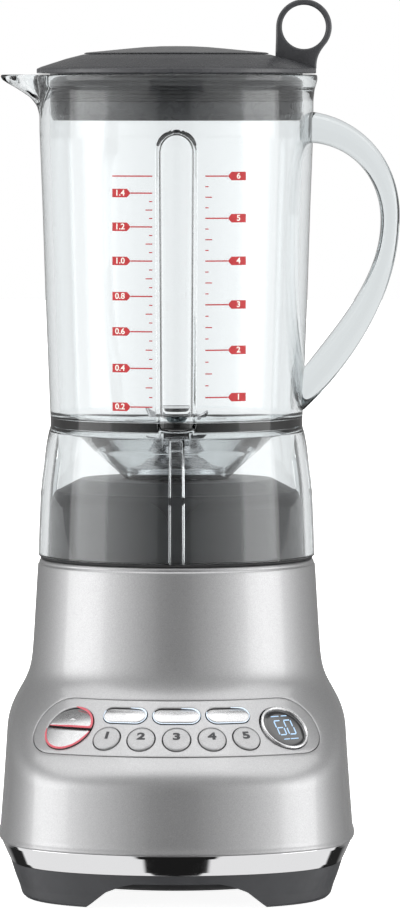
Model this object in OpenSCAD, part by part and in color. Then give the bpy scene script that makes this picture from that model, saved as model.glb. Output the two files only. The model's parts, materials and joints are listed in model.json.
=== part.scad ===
// Countertop blender: a motor base, a lift-off jug with a driven blade unit, a lid and a measuring cap.
// Millimetres. Z is up along the motor axis, the floor is z = 0, the control panel faces -Y,
// the jug's handle points to +X and its spout to -X.

/* [Base] */
// Half the width of the base across X
base_half_w = 88; // [86:0.5:90]
// Half the depth of the base along Y, which is also the radius of its bowed front and back
base_half_d = 111; // [109:0.5:112]
// Radius of the base's corners in plan
base_corner_r = 80; // [78:1:82]
// Horizontal thickness of the housing's wall
shell_t = 3; // [2.6:0.1:3.4]
// Radius of the neck just under its top
neck_r = 69.2; // [69:0.1:69.6]

/* [Control panel] */
// Height of the panel's centre line
panel_z = 88.1; // [87.9:0.1:88.5]
// Length of the panel up the slope
panel_len = 34; // [33.5:0.1:34.5]
// Turn from the front to each end dial, in degrees
dial_turn = 35.5; // [35:0.5:36.5]
// Radius of the two end dials
dial_r = 12.8; // [12.4:0.1:13]
// Radius of the round speed buttons
speed_r = 6.7; // [6.5:0.1:6.9]
// Turn from one speed button to the next, in degrees
speed_turn = 10.6; // [10.5:0.1:10.8]
// How far a button travels
button_travel = 1.2; // [0.8:0.1:1.5]

/* [Jug] */
// Height of the jug's rim
rim_z = 406.3; // [404:0.1:408]
// Thickness of the jug's wall
wall_t = 4.5; // [4.2:0.1:4.6]
// Width of the handle across Y
handle_w = 23; // [20:0.5:26]
// Width of each vertical flute
flute_w = 21; // [19:0.5:22]
// Reach of the spout's tip from the axis
spout_reach = 87.3; // [85:0.1:89]

/* [Lid] */
// Radius of the lid's flange
lid_r = 69.6; // [69:0.1:70]
// Height of the lid's flat top
lid_top_z = 416.5; // [416:0.1:417]
// Radius of the measuring cap's disc
cap_r = 46; // [45:0.5:46]
// Outer radius of the finger ring
ring_r = 14; // [13.5:0.1:14.5]

/* [Motor] */
// Radius of the motor shaft
shaft_r = 4; // [3.9:0.05:4]
// Outer radius of the stator stack
stator_r = 47; // [46:0.5:48]
// Height of the lamination stacks
stack_h = 40; // [38:1:40]
// Radius of the cooling fan
fan_r = 40; // [38:0.5:41]
// Radial gap between a turning shaft and its bearing or bush
running_gap = 0.05; // [0.03:0.01:0.08]

/* [Hidden] */
$fn = 96;

// heights of the base's layers
foot_h = 1.5;
pan_top_z = 18;
shell_bottom_z = 28.5;
body_top_z = 165.5;
deck_t = 2.5;
floor_z = 13;
floor_t = 2.5;
cover_z = 6.5;
cover_r = 66;
// clearances: between bodies that move past each other, and under a screw's thread
gap = 0.4;
thread_gap = 0.05;

// where the feet, the screws and the motor mounts stand
foot_x = 52.5;
foot_y = 58.5;
mount_circle_r = 56;
seat_screw_circle_r = 55;
bolt_x = 41;

// control panel geometry: a cone with this slope from the floor, v runs up it from its centre line
slope = 47;
panel_half = panel_len / 2;
speed_v = -6.7;
program_v = 7.7;
dial_v = -1.6;
panel_turn = 38;
program_turn = 17.3;
program_w = 22.4;
program_h = 9.2;
panel_r = body_r(panel_z);

// motor heights
stack_z = 82;
bearing_r = 11;
bearing_h = 7;
lower_bearing_z = 44;
upper_bearing_z = 137;
stator_bore_r = 27.2;

// jug heights and radii
skirt_z = 166.8;
shoulder_z = 231.5;
hole_r = 20;
floor_in_z = 208.5;
floor_out_z = 203.6;
flute_depth = 4;
flute_r = flute_w * flute_w / (8 * flute_depth) + flute_depth / 2;
flute_wall = 3.6;
key_half = 3.3;

// blade unit
spindle_r = 4;
bush_r = 8;
coupling_core_r = 8;
tooth_circle_r = 8.2;
tooth_r = 2.2;
tooth_count = 6;

// the lid's well for the measuring cap and its finger ring
well_r = 36;
ring_x = 63.5;
ring_z = 430;
// the lid's ribbed seal
seal_low_z = 393;
seal_top_z = 405;

// ---- outlines and profiles ----

// radius of the neck, which widens slightly towards the bottom
function neck_at(z) = neck_r + (164 - z) * 0.06;
// the neck runs out into a flare with the panel's slope
function flare_at(z) = neck_at(z) + (1 / tan(slope) - 0.06) * 4 * ln(1 + exp((106.5 - z) / 4));
// the smaller of two lengths, blended where they are less than k apart
function soft_min(a, b, k) = min(a, b) - pow(max(k - abs(a - b), 0), 2) / (4 * k);
// and the flare rounds over to the bowed front
function body_r(z) = soft_min(flare_at(z), base_half_d, 5);
// a point on a cubic curve
function curve(a, b, c, d, t) =
    a * pow(1 - t, 3) + 3 * b * t * pow(1 - t, 2) + 3 * c * t * t * (1 - t) + d * t * t * t;
// radius of the jug's wall on the outside, above its shoulder
function jug_r(z) = 63.2 + (z - 240) * 0.036;

// flat sides with round corners, a little deeper than the base
module plan_sides(inset) {
    half_d = base_half_d + 2;
    r = base_corner_r - inset;
    cx = base_half_w - base_corner_r;
    cy = half_d - base_corner_r;
    square([2 * (base_half_w - inset), 2 * cy], center = true);
    square([2 * cx, 2 * (half_d - inset)], center = true);
    for (sx = [-1, 1], sy = [-1, 1])
        translate([sx * cx, sy * cy]) circle(r);
}

// the base's outline: those sides with a bowed front and back
module base_plan(inset) {
    intersection() {
        plan_sides(inset);
        circle(base_half_d - inset);
    }
}

// the housing's outer volume, inset by a wall thickness
module body_volume(inset, bottom, top) {
    flare = [for (z = [58 : 3 : 118]) [body_r(z) - inset, z]];
    intersection() {
        rotate_extrude()
            polygon(concat(
                [[0, bottom], [base_half_d - inset, bottom]],
                flare,
                [[neck_at(162.8) - inset, 162.8], [68.4 - inset, 163.2], [67.4 - inset, top], [0, top]]
            ));
        translate([0, 0, bottom]) linear_extrude(top - bottom) plan_sides(inset);
    }
}

module ring(r_out, r_in, h, z = 0) {
    translate([0, 0, z]) rotate_extrude() translate([r_in, 0]) square([r_out - r_in, h]);
}

module rod(r, h, z = 0, x = 0, y = 0) {
    translate([x, y, z]) cylinder(r = r, h = h);
}

// a pie piece of a ring, from angle a to angle b
module ring_sector(r_out, r_in, h, z, a, b) {
    translate([0, 0, z]) rotate([0, 0, a])
        rotate_extrude(angle = b - a) translate([r_in, 0]) square([r_out - r_in, h]);
}

module at_corners(x, y) {
    for (sx = [0, 1], sy = [-1, 1])
        mirror([sx, 0, 0]) translate([x, sy * y, 0]) children();
}

module around(count, r = 0, start = 0) {
    for (i = [0 : count - 1])
        rotate([0, 0, start + i * 360 / count]) translate([r, 0, 0]) children();
}

// local frame on the panel: +Z out of the surface, +Y up the slope
module on_slope(turn, v) {
    rotate([0, 0, turn])
        translate([0, -(panel_r - v * cos(slope)), panel_z + v * sin(slope)])
            rotate([slope, 0, 0]) children();
}

// ---- base: housing ----

// the opening that the panel fills: a band round the cone with round ends
module panel_region(margin) {
    half = panel_half - margin;
    depth = 9;
    rotate([0, 0, -90 - panel_turn])
        rotate_extrude(angle = 2 * panel_turn)
            translate([panel_r, panel_z]) rotate([0, 0, 180 - slope])
                translate([-half, -depth]) square([2 * half, 2 * depth]);
    for (side = [-1, 1])
        on_slope(side * panel_turn, 0) rod(half, 2 * depth, -depth);
}

module body_shell() {
    boss_r = 5;
    boss_h = 45;
    color("silver") difference() {
        union() {
            difference() {
                body_volume(0, shell_bottom_z, body_top_z);
                body_volume(shell_t, shell_bottom_z - 1, body_top_z - deck_t);
            }
            // bosses for the four long screws under the feet, each ribbed to the side wall
            intersection() {
                at_corners(foot_x, foot_y) {
                    rod(boss_r, boss_h, floor_z + floor_t);
                    translate([0, -1, shell_bottom_z]) cube([base_half_w - foot_x, 2, 30]);
                }
                body_volume(shell_t / 2, floor_z, 120);
            }
        }
        rod(52, 20, body_top_z - 10);
        panel_region(0);
        at_corners(foot_x, foot_y) rod(1.9 + thread_gap, 25, floor_z);
        around(4, seat_screw_circle_r, 45) rod(2.2, 10, body_top_z - 5);
        // cord inlet, low on the back
        translate([0, base_half_d - 8, 46]) rotate([-90, 0, 0]) cylinder(r = 8, h = 20);
    }
}

module tapered_plan(top_z, top_inset, bottom_z, bottom_inset) {
    hull() {
        translate([0, 0, top_z - 0.1]) linear_extrude(0.1) base_plan(top_inset, $fn = 64);
        translate([0, 0, bottom_z]) linear_extrude(0.1) base_plan(bottom_inset, $fn = 64);
    }
}

module trim_ring() {
    color("gainsboro") difference() {
        tapered_plan(shell_bottom_z, 0.5, pan_top_z, 5);
        tapered_plan(shell_bottom_z + 0.1, 3.4, pan_top_z - 0.1, 7.9);
    }
}

// outline of the arch between two legs
module arch(half_w) {
    polygon([
        [-half_w - 2, -1], [half_w + 2, -1], [half_w - 3.3, 4], [half_w - 10, 9.2],
        [half_w - 16.5, 12], [half_w - 22, 13.4], [22 - half_w, 13.4], [16.5 - half_w, 12],
        [10 - half_w, 9.2], [3.3 - half_w, 4]
    ]);
}

module base_pan() {
    reach = 120;
    cover_seat_r = cover_r + 0.1;
    post_top = 38;
    color("dimgray") difference() {
        union() {
            difference() {
                union() {
                    tapered_plan(pan_top_z, 5, 5, 9.3);
                    tapered_plan(5.1, 9.3, foot_h, 10.8);
                }
                tapered_plan(pan_top_z + 0.1, 8.5, floor_z + floor_t, 12);
            }
            around(4, mount_circle_r, 45) rod(7, post_top - floor_z, floor_z);
        }
        translate([0, reach, 0]) rotate([90, 0, 0]) linear_extrude(2 * reach) arch(44);
        translate([-reach, 0, 0]) rotate([90, 0, 90]) linear_extrude(2 * reach) arch(50);
        rod(42, 10, floor_z - 2);
        rod(cover_seat_r, floor_z - cover_z + 0.1, cover_z - 0.1);
        at_corners(foot_x, foot_y) {
            rod(4.6, 6.5, foot_h);
            rod(2.2, 20, foot_h);
        }
        around(4, mount_circle_r, 45) rod(2 + thread_gap, 20, post_top - 14);
    }
}

module bottom_cover() {
    color("black") difference() {
        union() {
            rod(cover_r, 2.5, cover_z);
            ring(cover_r, cover_r - 2.5, floor_z - cover_z, cover_z);
        }
        // air outlet slots under the fan
        around(18, 30) translate([-10, -2, cover_z - 1]) cube([22, 4, 6]);
    }
}

module rubber_feet() {
    color("black") at_corners(foot_x, foot_y) {
        rod(8, foot_h);
        rod(4.4, 3.6, foot_h - 0.1);
    }
}

module screw(head_r, head_h, shank_r, shank_h) {
    difference() {
        rod(head_r, head_h);
        translate([0, 0, -0.1]) {
            translate([-head_r * 0.55, -0.4, 0]) cube([head_r * 1.1, 0.8, 1]);
            translate([-0.4, -head_r * 0.55, 0]) cube([0.8, head_r * 1.1, 1]);
        }
    }
    rod(shank_r, shank_h, head_h);
}

module base_screws() {
    color("silver") at_corners(foot_x, foot_y) translate([0, 0, 5.5]) screw(4, 2.5, 1.9, 28);
}

// ---- base: jug seat ----

// one keyway: a narrow slot that flares out at its top to guide the jug's key in
module keyway() {
    slot_half = 3.7;
    slot_top = 183.5;
    flare_half = 23;
    flare_h = 16;
    right = [for (a = [0 : 10 : 90])
        [slot_half + (flare_half - slot_half) * (1 - cos(a)), slot_top + flare_h * sin(a)]];
    left = [for (i = [len(right) - 1 : -1 : 0]) [-right[i][0], right[i][1]]];
    translate([60.3, 0, 0]) rotate([90, 0, 90]) linear_extrude(8)
        polygon(concat([[slot_half, body_top_z + 1]], right, left, [[-slot_half, body_top_z + 1]]));
}

module jug_seat() {
    plateau_z = 205;
    color("dimgray") difference() {
        union() {
            rotate_extrude() polygon(concat(
                [[58, body_top_z], [63.3, body_top_z]],
                [for (a = [0 : 15 : 75]) [58.5 + 4.8 * cos(a), 190 + 9.6 * sin(a)]],
                [[58.5, 199.6], [48, plateau_z], [26.6, plateau_z], [25, 203], [25, 171], [10, 171],
                    [10, 168], [28.5, 168], [28.5, 201.5], [46, 201.5], [55, 196], [58, 188]]
            ));
            around(4, seat_screw_circle_r, 45) rod(4, 27, body_top_z);
        }
        around(4, 0) keyway();
        around(4, seat_screw_circle_r, 45) rod(1.9 + thread_gap, 18, body_top_z - 1);
    }
}

module seat_gasket() {
    color("black") ring(68, 64.2, 0.9, body_top_z);
}

module seat_screws() {
    color("silver") around(4, seat_screw_circle_r, 45)
        translate([0, 0, body_top_z - deck_t - 2.5]) screw(3.8, 2.5, 1.9, 16);
}

module interlock_switch() {
    color("black") translate([40, 0, body_top_z + 4]) {
        translate([-6, -10, 0]) cube([12, 20, 16]);
        rod(1.5, 6, 16);
        translate([-1, -7, -5]) cube([2, 2, 5]);
        translate([-1, 5, -5]) cube([2, 2, 5]);
    }
}

// ---- base: control panel ----

// every button's place: turn round the cone and v up the slope
speed_places = [for (i = [-2 : 2]) [i * speed_turn, speed_v]];
program_places = [for (i = [-1 : 1]) [i * program_turn, program_v]];

module program_outline(margin, h) {
    r = program_h / 2 + margin;
    x = (program_w - program_h) / 2;
    translate([-x, -r, 0]) cube([2 * x, 2 * r, h]);
    for (side = [-1, 1]) translate([side * x, 0, 0]) cylinder(r = r, h = h);
}

module control_panel() {
    color("silver") difference() {
        intersection() {
            body_volume(0, 60, 120);
            panel_region(0.3);
        }
        body_volume(shell_t, 50, 125);
        for (place = speed_places)
            on_slope(place[0], place[1]) rod(speed_r + gap, 20, -10);
        for (place = program_places)
            on_slope(place[0], place[1]) translate([0, 0, -10]) program_outline(gap, 20);
        for (side = [-1, 1])
            on_slope(side * dial_turn, dial_v) rod(dial_r + gap, 20, -10);
    }
}

module display_bezel() {
    color("gainsboro") on_slope(dial_turn, dial_v) ring(dial_r, 11.2, 5.6, -4.6);
}

module display_lens() {
    color("black") on_slope(dial_turn, dial_v) rod(11.15, 2, -1.4);
}

module display_module() {
    color("dimgray") on_slope(dial_turn, dial_v) {
        translate([-9, -5.5, -6.6]) cube([18, 11, 5]);
        translate([-9, -7, -8.2]) cube([18, 14, 1.6]);
    }
}

// the flexible board that the switches sit on follows the cone
board_depth = 12.5;

module control_board() {
    color("darkgreen") rotate([0, 0, -90 - dial_turn - 6])
        rotate_extrude(angle = 2 * (dial_turn + 6))
            translate([panel_r, panel_z]) rotate([0, 0, 180 - slope])
                translate([-14, board_depth]) square([28, 1.4]);
}

module tact_switch() {
    translate([-3, -3, -board_depth + 0.4]) cube([6, 6, 3.2]);
    rod(1.6, 1, -board_depth + 3.6);
}

module button_switches() {
    color("black") {
        for (place = concat(speed_places, program_places))
            on_slope(place[0], place[1]) tact_switch();
        on_slope(-dial_turn, dial_v) for (side = [-1, 1])
            translate([0, side * 6.5, 0]) tact_switch();
    }
}

// a stem behind a button and the collar that keeps it in the panel
stem_end = -board_depth + 4.8 + button_travel;

module button_stem() {
    rod(1.8, -3.8 - stem_end, stem_end);
}

module round_button(turn) {
    on_slope(turn, speed_v) {
        rod(speed_r, 4.6, -4);
        rod(speed_r + 0.9, 1, -4.6 - 0.4);
        button_stem();
    }
}

module program_button(turn) {
    on_slope(turn, program_v) {
        translate([0, 0, -4]) program_outline(0, 4.6);
        translate([0, 0, -5]) program_outline(0.4, 1.1);
        button_stem();
    }
}

// half of the round twin button: side is 1 for the upper half, -1 for the lower
module half_button(side) {
    on_slope(-dial_turn, dial_v) {
        intersection() {
            rod(dial_r, 5.6, -5);
            translate([-20, side > 0 ? 0.3 : -20.3, -6]) cube([40, 20, 10]);
        }
        translate([0, side * 6.5, 0]) button_stem();
    }
}

module button_power() { color("lightgray") half_button(1); }
module button_clean() { color("lightgray") half_button(-1); }
module button_left() { color("lightgray") program_button(-program_turn); }
module button_middle() { color("lightgray") program_button(0); }
module button_right() { color("lightgray") program_button(program_turn); }
module button_1() { color("lightgray") round_button(-2 * speed_turn); }
module button_2() { color("lightgray") round_button(-speed_turn); }
module button_3() { color("lightgray") round_button(0); }
module button_4() { color("lightgray") round_button(speed_turn); }
module button_5() { color("lightgray") round_button(2 * speed_turn); }

// ---- base: electrics ----

module power_board() {
    board_y = 82;
    color("darkgreen") translate([-42, board_y, 30]) cube([84, 1.6, 46]);
    color("dimgray") {
        // filter capacitor, relay and the speed control's heat sink, in front of the board
        translate([-36, board_y - 14, 34]) cube([26, 14, 18]);
        translate([-4, board_y - 16, 36]) cube([15, 16, 19]);
        for (x = [18 : 5 : 38]) translate([x, board_y - 16, 36]) cube([1.6, 14, 28]);
        translate([18, board_y - 2, 36]) cube([21.6, 2, 28]);
    }
}

module cord_gland() {
    color("black") difference() {
        translate([0, base_half_d, 46]) rotate([-90, 0, 0]) {
            rod(7.8, 8, -6);
            rod(10, 2, 0);
            rod(10, 2, -shell_t - 2.55);
        }
        translate([0, base_half_d - 10, 46]) rotate([-90, 0, 0]) cylinder(r = 3.5, h = 20);
    }
}

module fan_shroud() {
    color("dimgray") {
        ring(45, 43, 26, floor_z + floor_t);
        ring(47.8, 43, 2, floor_z + floor_t);
    }
}

// ---- base: motor ----

module motor_frame_bottom() {
    plate_z = 50;
    plate_t = 4;
    color("silver") difference() {
        union() {
            rod(stator_r, plate_t, plate_z);
            rod(15, 11, 43);
            around(4, 0, 45) translate([30, -7, plate_z]) cube([mount_circle_r - 30, 14, plate_t]);
            around(4, mount_circle_r, 45) rod(7, plate_t, plate_z);
            for (side = [-1, 1]) rod(5, stack_z - plate_z, plate_z, side * bolt_x);
        }
        rod(bearing_r, bearing_h + 20, lower_bearing_z - 20);
        rod(7, 30, 40);
        // cooling air windows
        for (a = [60, 120, 240, 300]) rotate([0, 0, a]) translate([29, 0, 0]) rod(8, 20, 45);
        around(4, mount_circle_r, 45) rod(2.2, 20, 45);
        for (side = [-1, 1]) rod(2.2, 60, 40, side * bolt_x);
    }
}

module motor_frame_top() {
    base_z = stack_z + stack_h;
    bar_z = 134;
    color("silver") difference() {
        union() {
            translate([-bolt_x - 4, -8, bar_z]) cube([2 * bolt_x + 8, 16, 4]);
            rod(15, 12, bar_z);
            for (side = [-1, 1]) rod(5, bar_z - base_z + 4, base_z, side * bolt_x);
        }
        rod(bearing_r, 20, upper_bearing_z);
        rod(7, 30, bar_z - 5);
        for (side = [-1, 1]) rod(2.2, 60, base_z - 5, side * bolt_x);
    }
}

module through_bolts() {
    color("silver") for (side = [-1, 1]) translate([side * bolt_x, 0, 0]) {
        rod(3.8, 3, 47);
        rod(2, 91, 50);
        // nuts on the top bar
        difference() {
            translate([0, 0, 138]) cylinder(r = 3.9, h = 3.2, $fn = 6);
            rod(2, 5, 137);
        }
    }
}

module motor_mounts() {
    color("black") around(4, mount_circle_r, 45) difference() {
        union() {
            rod(8, 12, 38);
            rod(6, 12, 38);
        }
        rod(2.2, 20, 35);
    }
}

module motor_screws() {
    color("silver") around(4, mount_circle_r, 45) {
        rod(4.5, 3, 54);
        rod(2, 27, 27);
    }
}

module stator_core() {
    color("gray") difference() {
        rod(stator_r, stack_h, stack_z);
        rod(stator_bore_r, stack_h + 2, stack_z - 1);
        for (a = [34, 132, 214, 312]) ring_sector(39.5, 29.5, stack_h + 2, stack_z - 1, a, a + 14);
        for (side = [-1, 1]) rod(2.2, stack_h + 2, stack_z - 1, side * bolt_x);
    }
}

module field_coils() {
    end_h = 8;
    color("peru") for (a = [0, 180]) rotate([0, 0, a]) {
        ring_sector(39, 30, end_h, stack_z - end_h, 35, 145);
        ring_sector(39, 30, end_h, stack_z + stack_h, 35, 145);
        ring_sector(39, 30, stack_h, stack_z, 35, 47);
        ring_sector(39, 30, stack_h, stack_z, 133, 145);
    }
}

module bearing(z) {
    color("silver") difference() {
        ring(bearing_r, shaft_r + running_gap, bearing_h, z);
        // the sunk shields on both faces
        ring(bearing_r - 1.8, shaft_r + 2, 0.6, z - 0.1);
        ring(bearing_r - 1.8, shaft_r + 2, 0.6, z + bearing_h - 0.5);
    }
}

module motor_bearings() {
    bearing(lower_bearing_z);
    bearing(upper_bearing_z);
}

brush_z = 64;

module brush_holders() {
    color("peru") for (a = [0, 180]) rotate([0, 0, a]) difference() {
        translate([15, -6, 54]) cube([20, 12, 16]);
        translate([14, -3.5, brush_z - 4]) cube([20, 7, 8]);
    }
}

module carbon_brushes() {
    color("black") for (a = [0, 180]) rotate([0, 0, a])
        translate([12.7, -3.3, brush_z - 3.8]) cube([11, 6.6, 7.6]);
}

module brush_springs() {
    wire_r = 0.5;
    coil_r = 2.4;
    // each spring is drawn as a stack of closed coils behind its brush
    color("silver") for (a = [0, 180]) rotate([0, 0, a]) for (i = [0 : 5])
        translate([24.5 + i * 1.7, 0, brush_z]) rotate([0, 90, 0])
            rotate_extrude() translate([coil_r, 0]) circle(wire_r, $fn = 24);
}

// ---- rotor ----

module motor_shaft() {
    color("silver") rod(shaft_r, 160, 22);
}

slot_count = 12;

module armature_core() {
    color("gray") difference() {
        rod(stator_bore_r - 0.6, stack_h, stack_z);
        rod(shaft_r, stack_h + 2, stack_z - 1);
        around(slot_count, 22.5) rod(2.5, stack_h + 2, stack_z - 1);
    }
}

module armature_windings() {
    end_h = 9;
    color("peru") {
        ring(25, 9, end_h, stack_z - end_h);
        ring(25, 9, end_h, stack_z + stack_h);
        around(slot_count, 22.5) rod(2.4, stack_h, stack_z);
    }
}

module commutator() {
    color("peru") difference() {
        ring(12.5, shaft_r, 15, 56);
        around(24, 12.5) translate([-1, -0.25, 55]) cube([2, 0.5, 17]);
    }
}

module cooling_fan() {
    fan_z = 24;
    color("dimgray") {
        ring(9, shaft_r, 12, fan_z);
        ring(fan_r, 8, 1.6, fan_z + 10.4);
        around(11, 0) rotate([0, 0, 12]) translate([14, -0.9, fan_z]) cube([fan_r - 15, 1.8, 10.5]);
    }
}

module coupling_teeth(grow, h, z) {
    rod(coupling_core_r + grow, h, z);
    around(tooth_count, tooth_circle_r) rod(tooth_r + grow, h, z);
}

module drive_coupling() {
    color("dimgray") difference() {
        union() {
            coupling_teeth(0, 12.5, 172);
            rod(11.5, 4, 172);
        }
        rod(shaft_r, 12, 171);
    }
}

// ---- jug ----

// outside radius of the skirt below the shoulder, which bells out in one smooth curve
skirt_points = [[69, skirt_z], [68.6, 180], [68.1, 192], [67.3, 204], [65.8, 216], [63.9, 228]];

module jug_walls() {
    skirt_t = 4.2;
    skirt_in = [for (i = [len(skirt_points) - 1 : -1 : 0])
        [skirt_points[i][0] - skirt_t, skirt_points[i][1] - (i > 4 ? 3 : 0)]];
    rotate_extrude() polygon(concat(
        skirt_points,
        [[63, shoulder_z], [jug_r(240), 240], [jug_r(378), 378], [67.9, 392], [70.2, 403],
            [70.2, rim_z - 0.8], [69.5, rim_z], [64.4, rim_z], [63.4, 400], [63.4, 385]],
        [[jug_r(378) - wall_t, 378], [jug_r(240) - wall_t, 240], [56.5, 235.5], [45.5, 227.8],
            [37, 221.8], [24.6, 210]],
        [[23.8, floor_in_z], [hole_r, floor_in_z], [hole_r, floor_out_z], [24, floor_out_z],
            [39.6, 218.1], [48, 223.9], [55.4, 227.4]],
        skirt_in
    ));
}

// a vertical flute in the front or back wall, leaning with the wall
module flute(r, bottom, top) {
    lean = atan(0.036);
    translate([0, -(jug_r(240) - flute_depth + flute_r), 240]) rotate([lean, 0, 0]) {
        translate([0, 0, bottom - 240]) cylinder(r = r, h = top - bottom);
        translate([0, 0, top - 240]) sphere(r);
    }
}

module jug_handle() {
    steps = 12;
    top_root = [66, 388.2];
    top_mid = [111.3, 336];
    low_root = [62.4, 238.5];
    outer_top = [for (i = [0 : steps]) curve(top_root, [92, 386], [111.5, 364], top_mid, i / steps)];
    outer_low = [for (i = [1 : steps]) curve(top_mid, [111.3, 300], [91, 264], low_root, i / steps)];
    inner_top = [for (i = [0 : steps])
        curve([66, 372.5], [86, 372.5], [101.9, 356], [101.9, 334], i / steps)];
    inner_low = [for (i = [1 : steps])
        curve([101.9, 334], [101.9, 306], [82, 284], [66, 262.5], i / steps)];
    rotate([90, 0, 0]) translate([0, 0, -handle_w / 2]) linear_extrude(handle_w) difference() {
        polygon(concat(outer_top, outer_low, [[60, 243], [64.4, 380]]));
        polygon(concat(inner_top, inner_low, [[50, 262.5], [50, 372.5]]));
    }
}

// the beak of the spout: a V in plan over a rising underside, inset for its channel
module spout(inset, root_x, top) {
    tip = spout_reach - inset * 1.6;
    half_w = 20 - inset;
    intersection() {
        translate([0, 0, 380]) linear_extrude(top - 380)
            polygon([[-root_x, -half_w], [-root_x, half_w], [-66, half_w], [-tip, 2], [-tip, -2],
                [-66, -half_w]]);
        rotate([90, 0, 0]) translate([0, 0, -30]) linear_extrude(60)
            polygon([[-root_x, 386.5 + inset], [-68, 388 + inset], [-72.3, 395 + inset],
                [-82.5, 401.8 + inset / 2], [-tip, 404.2], [-tip, top], [-root_x, top]]);
    }
}

module jug() {
    color([0.85, 0.87, 0.88, 0.4]) {
        difference() {
            union() {
                jug_walls();
                jug_handle();
                spout(0, 64, rim_z);
                // four keys inside the skirt
                around(4, 0) translate([61.2, -key_half, skirt_z]) cube([4.6, 2 * key_half, 33]);
            }
            for (a = [0, 180]) rotate([0, 0, a]) flute(flute_r, 230, 368);
            // the spout's channel opens through the rim
            spout(3, 55, rim_z + 1);
        }
        // the flutes stand inside as baffles
        for (a = [0, 180]) rotate([0, 0, a]) difference() {
            intersection() {
                flute(flute_r + flute_wall, 233, 372);
                rod(63.3, 170, 220);
            }
            flute(flute_r, 228, 368);
        }
    }
}

module blade_housing() {
    color("silver") difference() {
        union() {
            rod(19.6, 22, 188.5);
            rod(23.5, 3.5, 210);
            translate([0, 0, 213.5]) cylinder(r1 = 20, r2 = 11, h = 6);
            rod(11, 2, 219);
        }
        rod(bush_r, 29, 187.5);
        rod(spindle_r + 0.4, 20, 205);
    }
}

module housing_seal() {
    color("black") ring(23.3, 19.6 + thread_gap, 1.5, floor_in_z);
}

module retaining_nut() {
    nut_z = 188.5;
    color("dimgray") difference() {
        rod(23, floor_out_z - nut_z, nut_z);
        rod(19.6 + thread_gap, 20, nut_z - 1);
        // finger notches round the outside
        around(12, 23.6) rod(1.8, 10, nut_z - 1);
    }
}

module spindle_bushes() {
    color("peru") for (z = [190, 203]) ring(bush_r, spindle_r + running_gap, 9, z);
}

module spindle_seal() {
    color("black") ring(bush_r, spindle_r + running_gap, 4, 212.4);
}

// ---- blades ----

module blade_spindle() {
    color("silver") rod(spindle_r, 50, 185.5);
}

// a pair of pointed wings on one hub, tilted up or down and bent at the root
module blade_pair(z, reach, tilt, turn) {
    blade_t = 1.5;
    root_x = 8;
    rotate([0, 0, turn]) difference() {
        union() {
            rod(9, blade_t, z);
            around(2, root_x) translate([0, 0, z]) rotate([0, -tilt, 0]) linear_extrude(blade_t)
                polygon([[-1, -6.5], [reach - 12, -6], [reach, 3.5], [reach - 1, 5.5], [-1, 6.5]]);
        }
        rod(spindle_r, 10, z - 4);
    }
}

module lower_blades() {
    color("silver") blade_pair(224, 28, 4, 35);
}

module upper_blades() {
    color("silver") blade_pair(226.5, 24, 38, 125);
}

module blade_nut() {
    color("silver") difference() {
        translate([0, 0, 228.6]) cylinder(r = 7, h = 5, $fn = 6);
        rod(spindle_r, 10, 226);
    }
}

module driven_coupling() {
    color("dimgray") difference() {
        rod(15, 11.5, 176.5);
        coupling_teeth(0.6, 9, 176.4);
        rod(spindle_r, 10, 180);
    }
}

// ---- lid ----

module lid_cover() {
    flange_z = rim_z + 0.5;
    skirt_low_z = 383.6;
    color("dimgray") {
        difference() {
            rotate_extrude() polygon([
                [well_r, flange_z - 20], [well_r + 2.5, flange_z - 20], [well_r + 2.5, flange_z + 1],
                [59.5, flange_z], [59.5, skirt_low_z], [61.5, skirt_low_z], [62.6, skirt_low_z + 4],
                [62.6, seal_low_z], [61.2, seal_low_z], [61.2, seal_top_z], [62.6, seal_top_z],
                [62.6, flange_z],
                [lid_r, flange_z], [lid_r, 409], [66.9, 410.2], [60.8, 412.5], [54.8, 414],
                [46.3, lid_top_z], [well_r, lid_top_z]
            ]);
        }
        // the finger ring stands on the rim on a short web
        translate([ring_x, 4, ring_z]) rotate([90, 0, 0]) ring(ring_r, 11, 8);
        difference() {
            translate([49.3, -4, 409]) cube([20.3, 8, 12.5]);
            translate([ring_x, 5, ring_z]) rotate([90, 0, 0]) rod(11, 10);
        }
    }
}

module lid_seal() {
    outer_r = 63.05;
    rib_h = (seal_top_z - seal_low_z) / 5;
    ribs = [for (i = [0 : 4])
        let (low_z = seal_low_z + i * rib_h)
        each [
            [outer_r - 0.6, low_z + 0.01], [outer_r, low_z + 0.6],
            [outer_r, low_z + rib_h - 0.6], [outer_r - 0.6, low_z + rib_h - 0.01]
        ]];
    color("black") rotate_extrude()
        polygon(concat([[61.2, seal_low_z + 0.01]], ribs, [[61.2, seal_top_z - 0.01]]));
}

module measuring_cap() {
    cup_r = well_r - 1;
    cup_low_z = 385;
    color([0.4, 0.4, 0.42, 0.9]) rotate_extrude() polygon([
        [cup_r - 3, cup_low_z], [cup_r - 0.5, cup_low_z], [cup_r, 400], [cup_r, lid_top_z + gap],
        [cap_r, lid_top_z + gap], [cap_r, 417], [cap_r - 1, 417.3], [26, 418.9], [10, 420.2],
        [0, 420.5], [0, 417.5], [cup_r - 4, 417.5], [cup_r - 2.5, 415]
    ]);
}

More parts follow.
